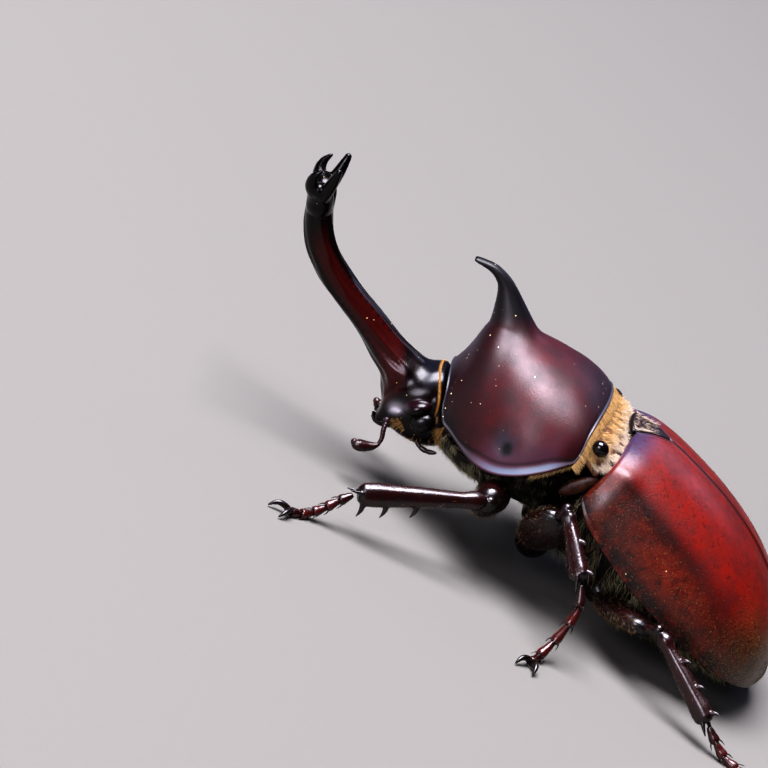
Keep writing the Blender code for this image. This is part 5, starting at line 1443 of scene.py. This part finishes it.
# silky hair from the nape over the front of the small shield
shieldTop = lambda u, v: placed(np.stack([5.6 * (v - 0.5) * (1.0 - 0.5 * u), -4.5 + 2.4 * u,
                                          wingCrest(-4.5 + 2.4 * u) + 0.14], axis=-1), "body")
addCoat("scutellum_hair", finishes["creamFur"], [
    tuftsOn(shieldTop, 900, (0.0, 1.0), (0.0, 1.0), napeMiddle, rearward, (0.5, 1.0, 0.045), 0.16, 0.15, 0.05,
            lambda points: 1.0 - stepUp(local(points, "body")[:, 1], -3.6, -2.2)),
])
# golden fringe that comes out from under the shield's rear edge and round its rear corners
edgeOfShield = placed(shieldRings[lastOnTop + 1], "prothorax")
behindHalf, besideCount = 52, 20              # columns from the rear edge's middle to its corner, and beyond
rearEdge = np.vstack([edgeOfShield[-behindHalf:], edgeOfShield[:behindHalf + 1]])
leftEdge = edgeOfShield[behindHalf:behindHalf + besideCount]
rightEdge = edgeOfShield[-behindHalf - besideCount:-behindHalf]
addCoat("shield_edge_fringe", finishes["goldFringe"], [
    fringeOf(rearEdge + (0.0, 0.0, -0.35), 2600, partWay((0.0, 1.0, -0.1), "body"), (0.6, 1.3, 0.05),
             0.15, 0.08),
    tuftsOn(napeSkin, 4200, (0.3, 0.7), (-0.24, 0.24), napeMiddle, rearward, (0.5, 1.1, 0.05), 0.3, 0.2, 0.1,
            tufted(0.8, 0.0)),
    *(fringeOf(edge + (-0.35 * side, 0.0, -0.2), 240, partWay((0.15 * side, 0.35, -1.0), "body"),
               (0.4, 0.8, 0.05), 0.1, 0.1) for side, edge in ((1.0, leftEdge), (-1.0, rightEdge))),
])
# collar between head and shield, and the brush about the mouth
headMiddle = placed((0.0, 0.0, -2.5), "head")
skullSkin = lambda u, v: placed(skullPoint(u, tau * v), "head")
roundHead = np.linspace(-0.29, 0.29, 60)
lineOfCollar = skullSkin(0.065 + 0.1 * np.abs(roundHead / 0.27) ** 3, roundHead)
collar = fringeOf(lineOfCollar, 3800, partWay((0.0, 1.0, 0.2), "head"), (0.1, 0.2, 0.035), 0.12, 0.0, 0.035)
addCoat("head_brushes", finishes["orangeBrush"], [
    collar,
    *(tuftsOn(skullSkin, 300, (0.05, 0.22), beside, headMiddle, downward, (0.4, 0.85, 0.05), 0.35, 0.2, 0.3)
      for beside in ((0.3, 0.4), (0.6, 0.7))),
    tuftsOn(skullSkin, 160, (0.05, 0.2), (0.4, 0.6), headMiddle, downward, (0.4, 0.8, 0.055), 0.4, 0.25, 0.3),
    tuftsOn(skullSkin, 200, (0.3, 0.8), (0.36, 0.64), headMiddle, downward, (0.3, 0.7, 0.05), 0.4, 0.25, 0.2,
            tufted(0.9, 0.3)),
    *(tuftsOn(skullSkin, 150, (0.6, 0.76), beside, headMiddle, partWay((0.0, -0.3, -1.0), "body"),
              (0.35, 0.75, 0.05), 0.4, 0.25, 0.1) for beside in ((0.26, 0.33), (0.67, 0.74))),
])

chestSkin, wingRootSkin, bellySkin = surfaceOf("prosternum"), surfaceOf("metathorax"), surfaceOf("abdomen")
chestMiddle = placed((0.0, -11.0, -15.0), "body")
bellyMiddle = placed((0.0, 5.0, -8.0), "body")
addCoat("underside_fur", finishes["beigeFur"], [
    tuftsOn(chestSkin, 7000, (0.05, 0.98), (0.2, 0.8), chestMiddle, rearward * 0.7 + downward,
            (0.4, 0.95, 0.045), 0.22, 0.16, 0.2, tufted(1.3, 0.2)),
    tuftsOn(wingRootSkin, 6000, (0.02, 0.98), (0.24, 0.76), bellyMiddle, rearward * 0.6 + downward,
            (0.8, 1.9, 0.055), 0.35, 0.22, 0.2, tufted(1.0, 0.35)),
    tuftsOn(bellySkin, 1800, (0.02, 0.98), (0.26, 0.74), bellyMiddle, rearward + 0.3 * downward,
            (0.6, 1.3, 0.06), 0.35, 0.2, 0.1),
])

# downy: share of the wing cases' short down that is kept: more of it low down and toward the rear
def downy(points):
    inside = local(points, "body")
    back, low = inside[:, 1], -inside[:, 2]
    return 0.12 + 0.88 * np.clip(stepUp(low, 3.0, 8.5) * 0.8 + stepUp(back, 12.0, 23.0) * 0.7, 0.0, 1.0)


down = []
for side in (1.0, -1.0):
    wingTop = lambda u, v, side=side: placed(wingPoint(np.clip(u, 0.0, 1.0), np.clip(v, 0.0, 1.0))
                                             * (side, 1.0, 1.0), "body")
    down.append(tuftsOn(wingTop, 17000, (0.03, 0.995), (0.1, 0.99), bellyMiddle, rearward + 0.35 * downward,
                        (0.14, 0.28, 0.035), 0.3, 0.2, 0.0, downy))
addCoat("wing_case_down", finishes["goldDown"], down, 1)

# bristles and fringes on the limbs
bristles, legFringe = [], []
for (limb, pair, name), skinAt in legSkins.items():
    surface = lambda u, v, skinAt=skinAt: skinAt(np.clip(u, 0.0, 1.0), tau * v)
    stops = np.array((0.0, 0.5, 1.0))
    middle = surface(stops, np.full(3, 0.25)) * 0.5 + surface(stops, np.full(3, 0.75)) * 0.5
    axis = (middle[2] - middle[0]) / np.linalg.norm(middle[2] - middle[0])
    if limb == "tibia":
        bristles.append(tuftsOn(surface, 90, (0.15, 0.97), (0.0, 1.0), middle[1], axis, (0.35, 0.75, 0.04),
                                0.35, 0.1, 0.0))
    elif limb == "femur":
        legFringe.append(tuftsOn(surface, 320, (0.05, 0.95), (0.3, 0.7), middle[1], axis, (0.4, 0.95, 0.045),
                                 0.4, 0.15, 0.15))
        bristles.append(tuftsOn(surface, 110, (0.1, 0.95), (-0.3, 0.3), middle[1], axis, (0.3, 0.6, 0.045),
                                0.4, 0.12, 0.0))
addCoat("limb_bristles", finishes["darkBristle"], bristles)
addCoat("femur_fringe", finishes["goldDown"], legFringe)
print("hair made")


# floor, light and camera

studio = {
    "floor": "#6d6c66", "floorRoughness": 0.85, "world": "#d6dcec", "worldStrength": 0.06,
    # soft lights: direction toward the light, distance and size in metres, power, colour
    "lights": (("key", (0.02, -0.32, 0.94), 1.2, 0.8, 46.0, "#f6f2ff"),
               ("side", (0.81, -0.47, 0.35), 1.5, 0.6, 12.0, "#f6f0ff"),
               ("rim", (-0.75, 0.25, 0.6), 1.2, 0.5, 1.2, "#cfd8ff")),
    # camera: place against the point under the small shield's tip (mm), bearing, roll and lens
    "cameraPlace": (397.9, -47.35, 150.5), "azimuth": 87.44, "elevation": 19.48, "roll": 31.68, "lens": 183.1,
    "floorHalf": 1.5,                         # metres
}
floorMesh = bpy.data.meshes.new("floor")
reach = studio["floorHalf"]
floorMesh.from_pydata([(-reach, -reach, 0.0), (reach, -reach, 0.0), (reach, reach, 0.0),
                       (-reach, reach, 0.0)], [], [(0, 1, 2, 3)])
floor = bpy.data.objects.new("floor", floorMesh)
bpy.context.scene.collection.objects.link(floor)
plaster = bpy.data.materials.new("pale_floor_smooth_plaster")     # soft ground that takes a faint shadow
plaster.use_nodes = True
shader = plaster.node_tree.nodes["Principled BSDF"]
shader.inputs["Base Color"].default_value = linearColour(studio["floor"])
shader.inputs["Roughness"].default_value = studio["floorRoughness"]
where = addNode(plaster.node_tree, "ShaderNodeTexCoord").outputs["Object"]
speck = addNode(plaster.node_tree, "ShaderNodeTexNoise", {"Scale": 900.0, "Detail": 4.0},
                {"Vector": where}).outputs[0]
grain = addNode(plaster.node_tree, "ShaderNodeBump", {"Strength": 0.3, "Distance": 0.0001},
                {"Height": speck}).outputs[0]
plaster.node_tree.links.new(grain, shader.inputs["Normal"])
floor.data.materials.append(plaster)

world = bpy.data.worlds.new("studio")
bpy.context.scene.world = world
world.use_nodes = True
background = world.node_tree.nodes["Background"]
background.inputs["Color"].default_value = linearColour(studio["world"])
background.inputs["Strength"].default_value = studio["worldStrength"]


# frameOf: a turn whose z points away from what is looked at, and whose x is level
def frameOf(back):
    back = np.array(back, dtype=float) / np.linalg.norm(back)
    right = np.cross((0.0, 0.0, 1.0), back)
    right /= np.linalg.norm(right)
    return right, np.cross(back, right), back


# setAt: put an object at a place with its three axes
def setAt(thing, place, right, upward, back):
    rows = [(right[k], upward[k], back[k], place[k]) for k in range(3)]
    thing.matrix_world = Matrix(rows + [(0.0, 0.0, 0.0, 1.0)])


centre = placed((0.0, 0.0, 0.0), "body") * millimetre
for name, toward, distance, size, power, colour in studio["lights"]:
    lamp = bpy.data.lights.new(name, "AREA")
    lamp.energy, lamp.size, lamp.color = power, size, linearColour(colour)[:3]
    holder = bpy.data.objects.new(name, lamp)
    bpy.context.scene.collection.objects.link(holder)
    axes = frameOf(toward)
    setAt(holder, centre + axes[2] * distance, *axes)

azimuth, elevation = math.radians(studio["azimuth"]), math.radians(studio["elevation"])
flat = math.cos(elevation)
right, upward, back = frameOf((flat * math.sin(azimuth), -flat * math.cos(azimuth), math.sin(elevation)))
c, s = math.cos(math.radians(studio["roll"])), math.sin(math.radians(studio["roll"]))
eyeglass = bpy.data.cameras.new("camera")
eyeglass.lens = studio["lens"]
eyeglass.sensor_width = 36.0
eyeglass.clip_start, eyeglass.clip_end = 0.01, 20.0
camera = bpy.data.objects.new("camera", eyeglass)
bpy.context.scene.collection.objects.link(camera)
setAt(camera, placed(studio["cameraPlace"], "ground") * millimetre, right * c + upward * s,
      upward * c - right * s, back)
bpy.context.scene.camera = camera
bpy.context.scene.view_settings.view_transform = "Standard"
bpy.context.scene.view_settings.look = "High Contrast"

bpy.context.view_layer.update()
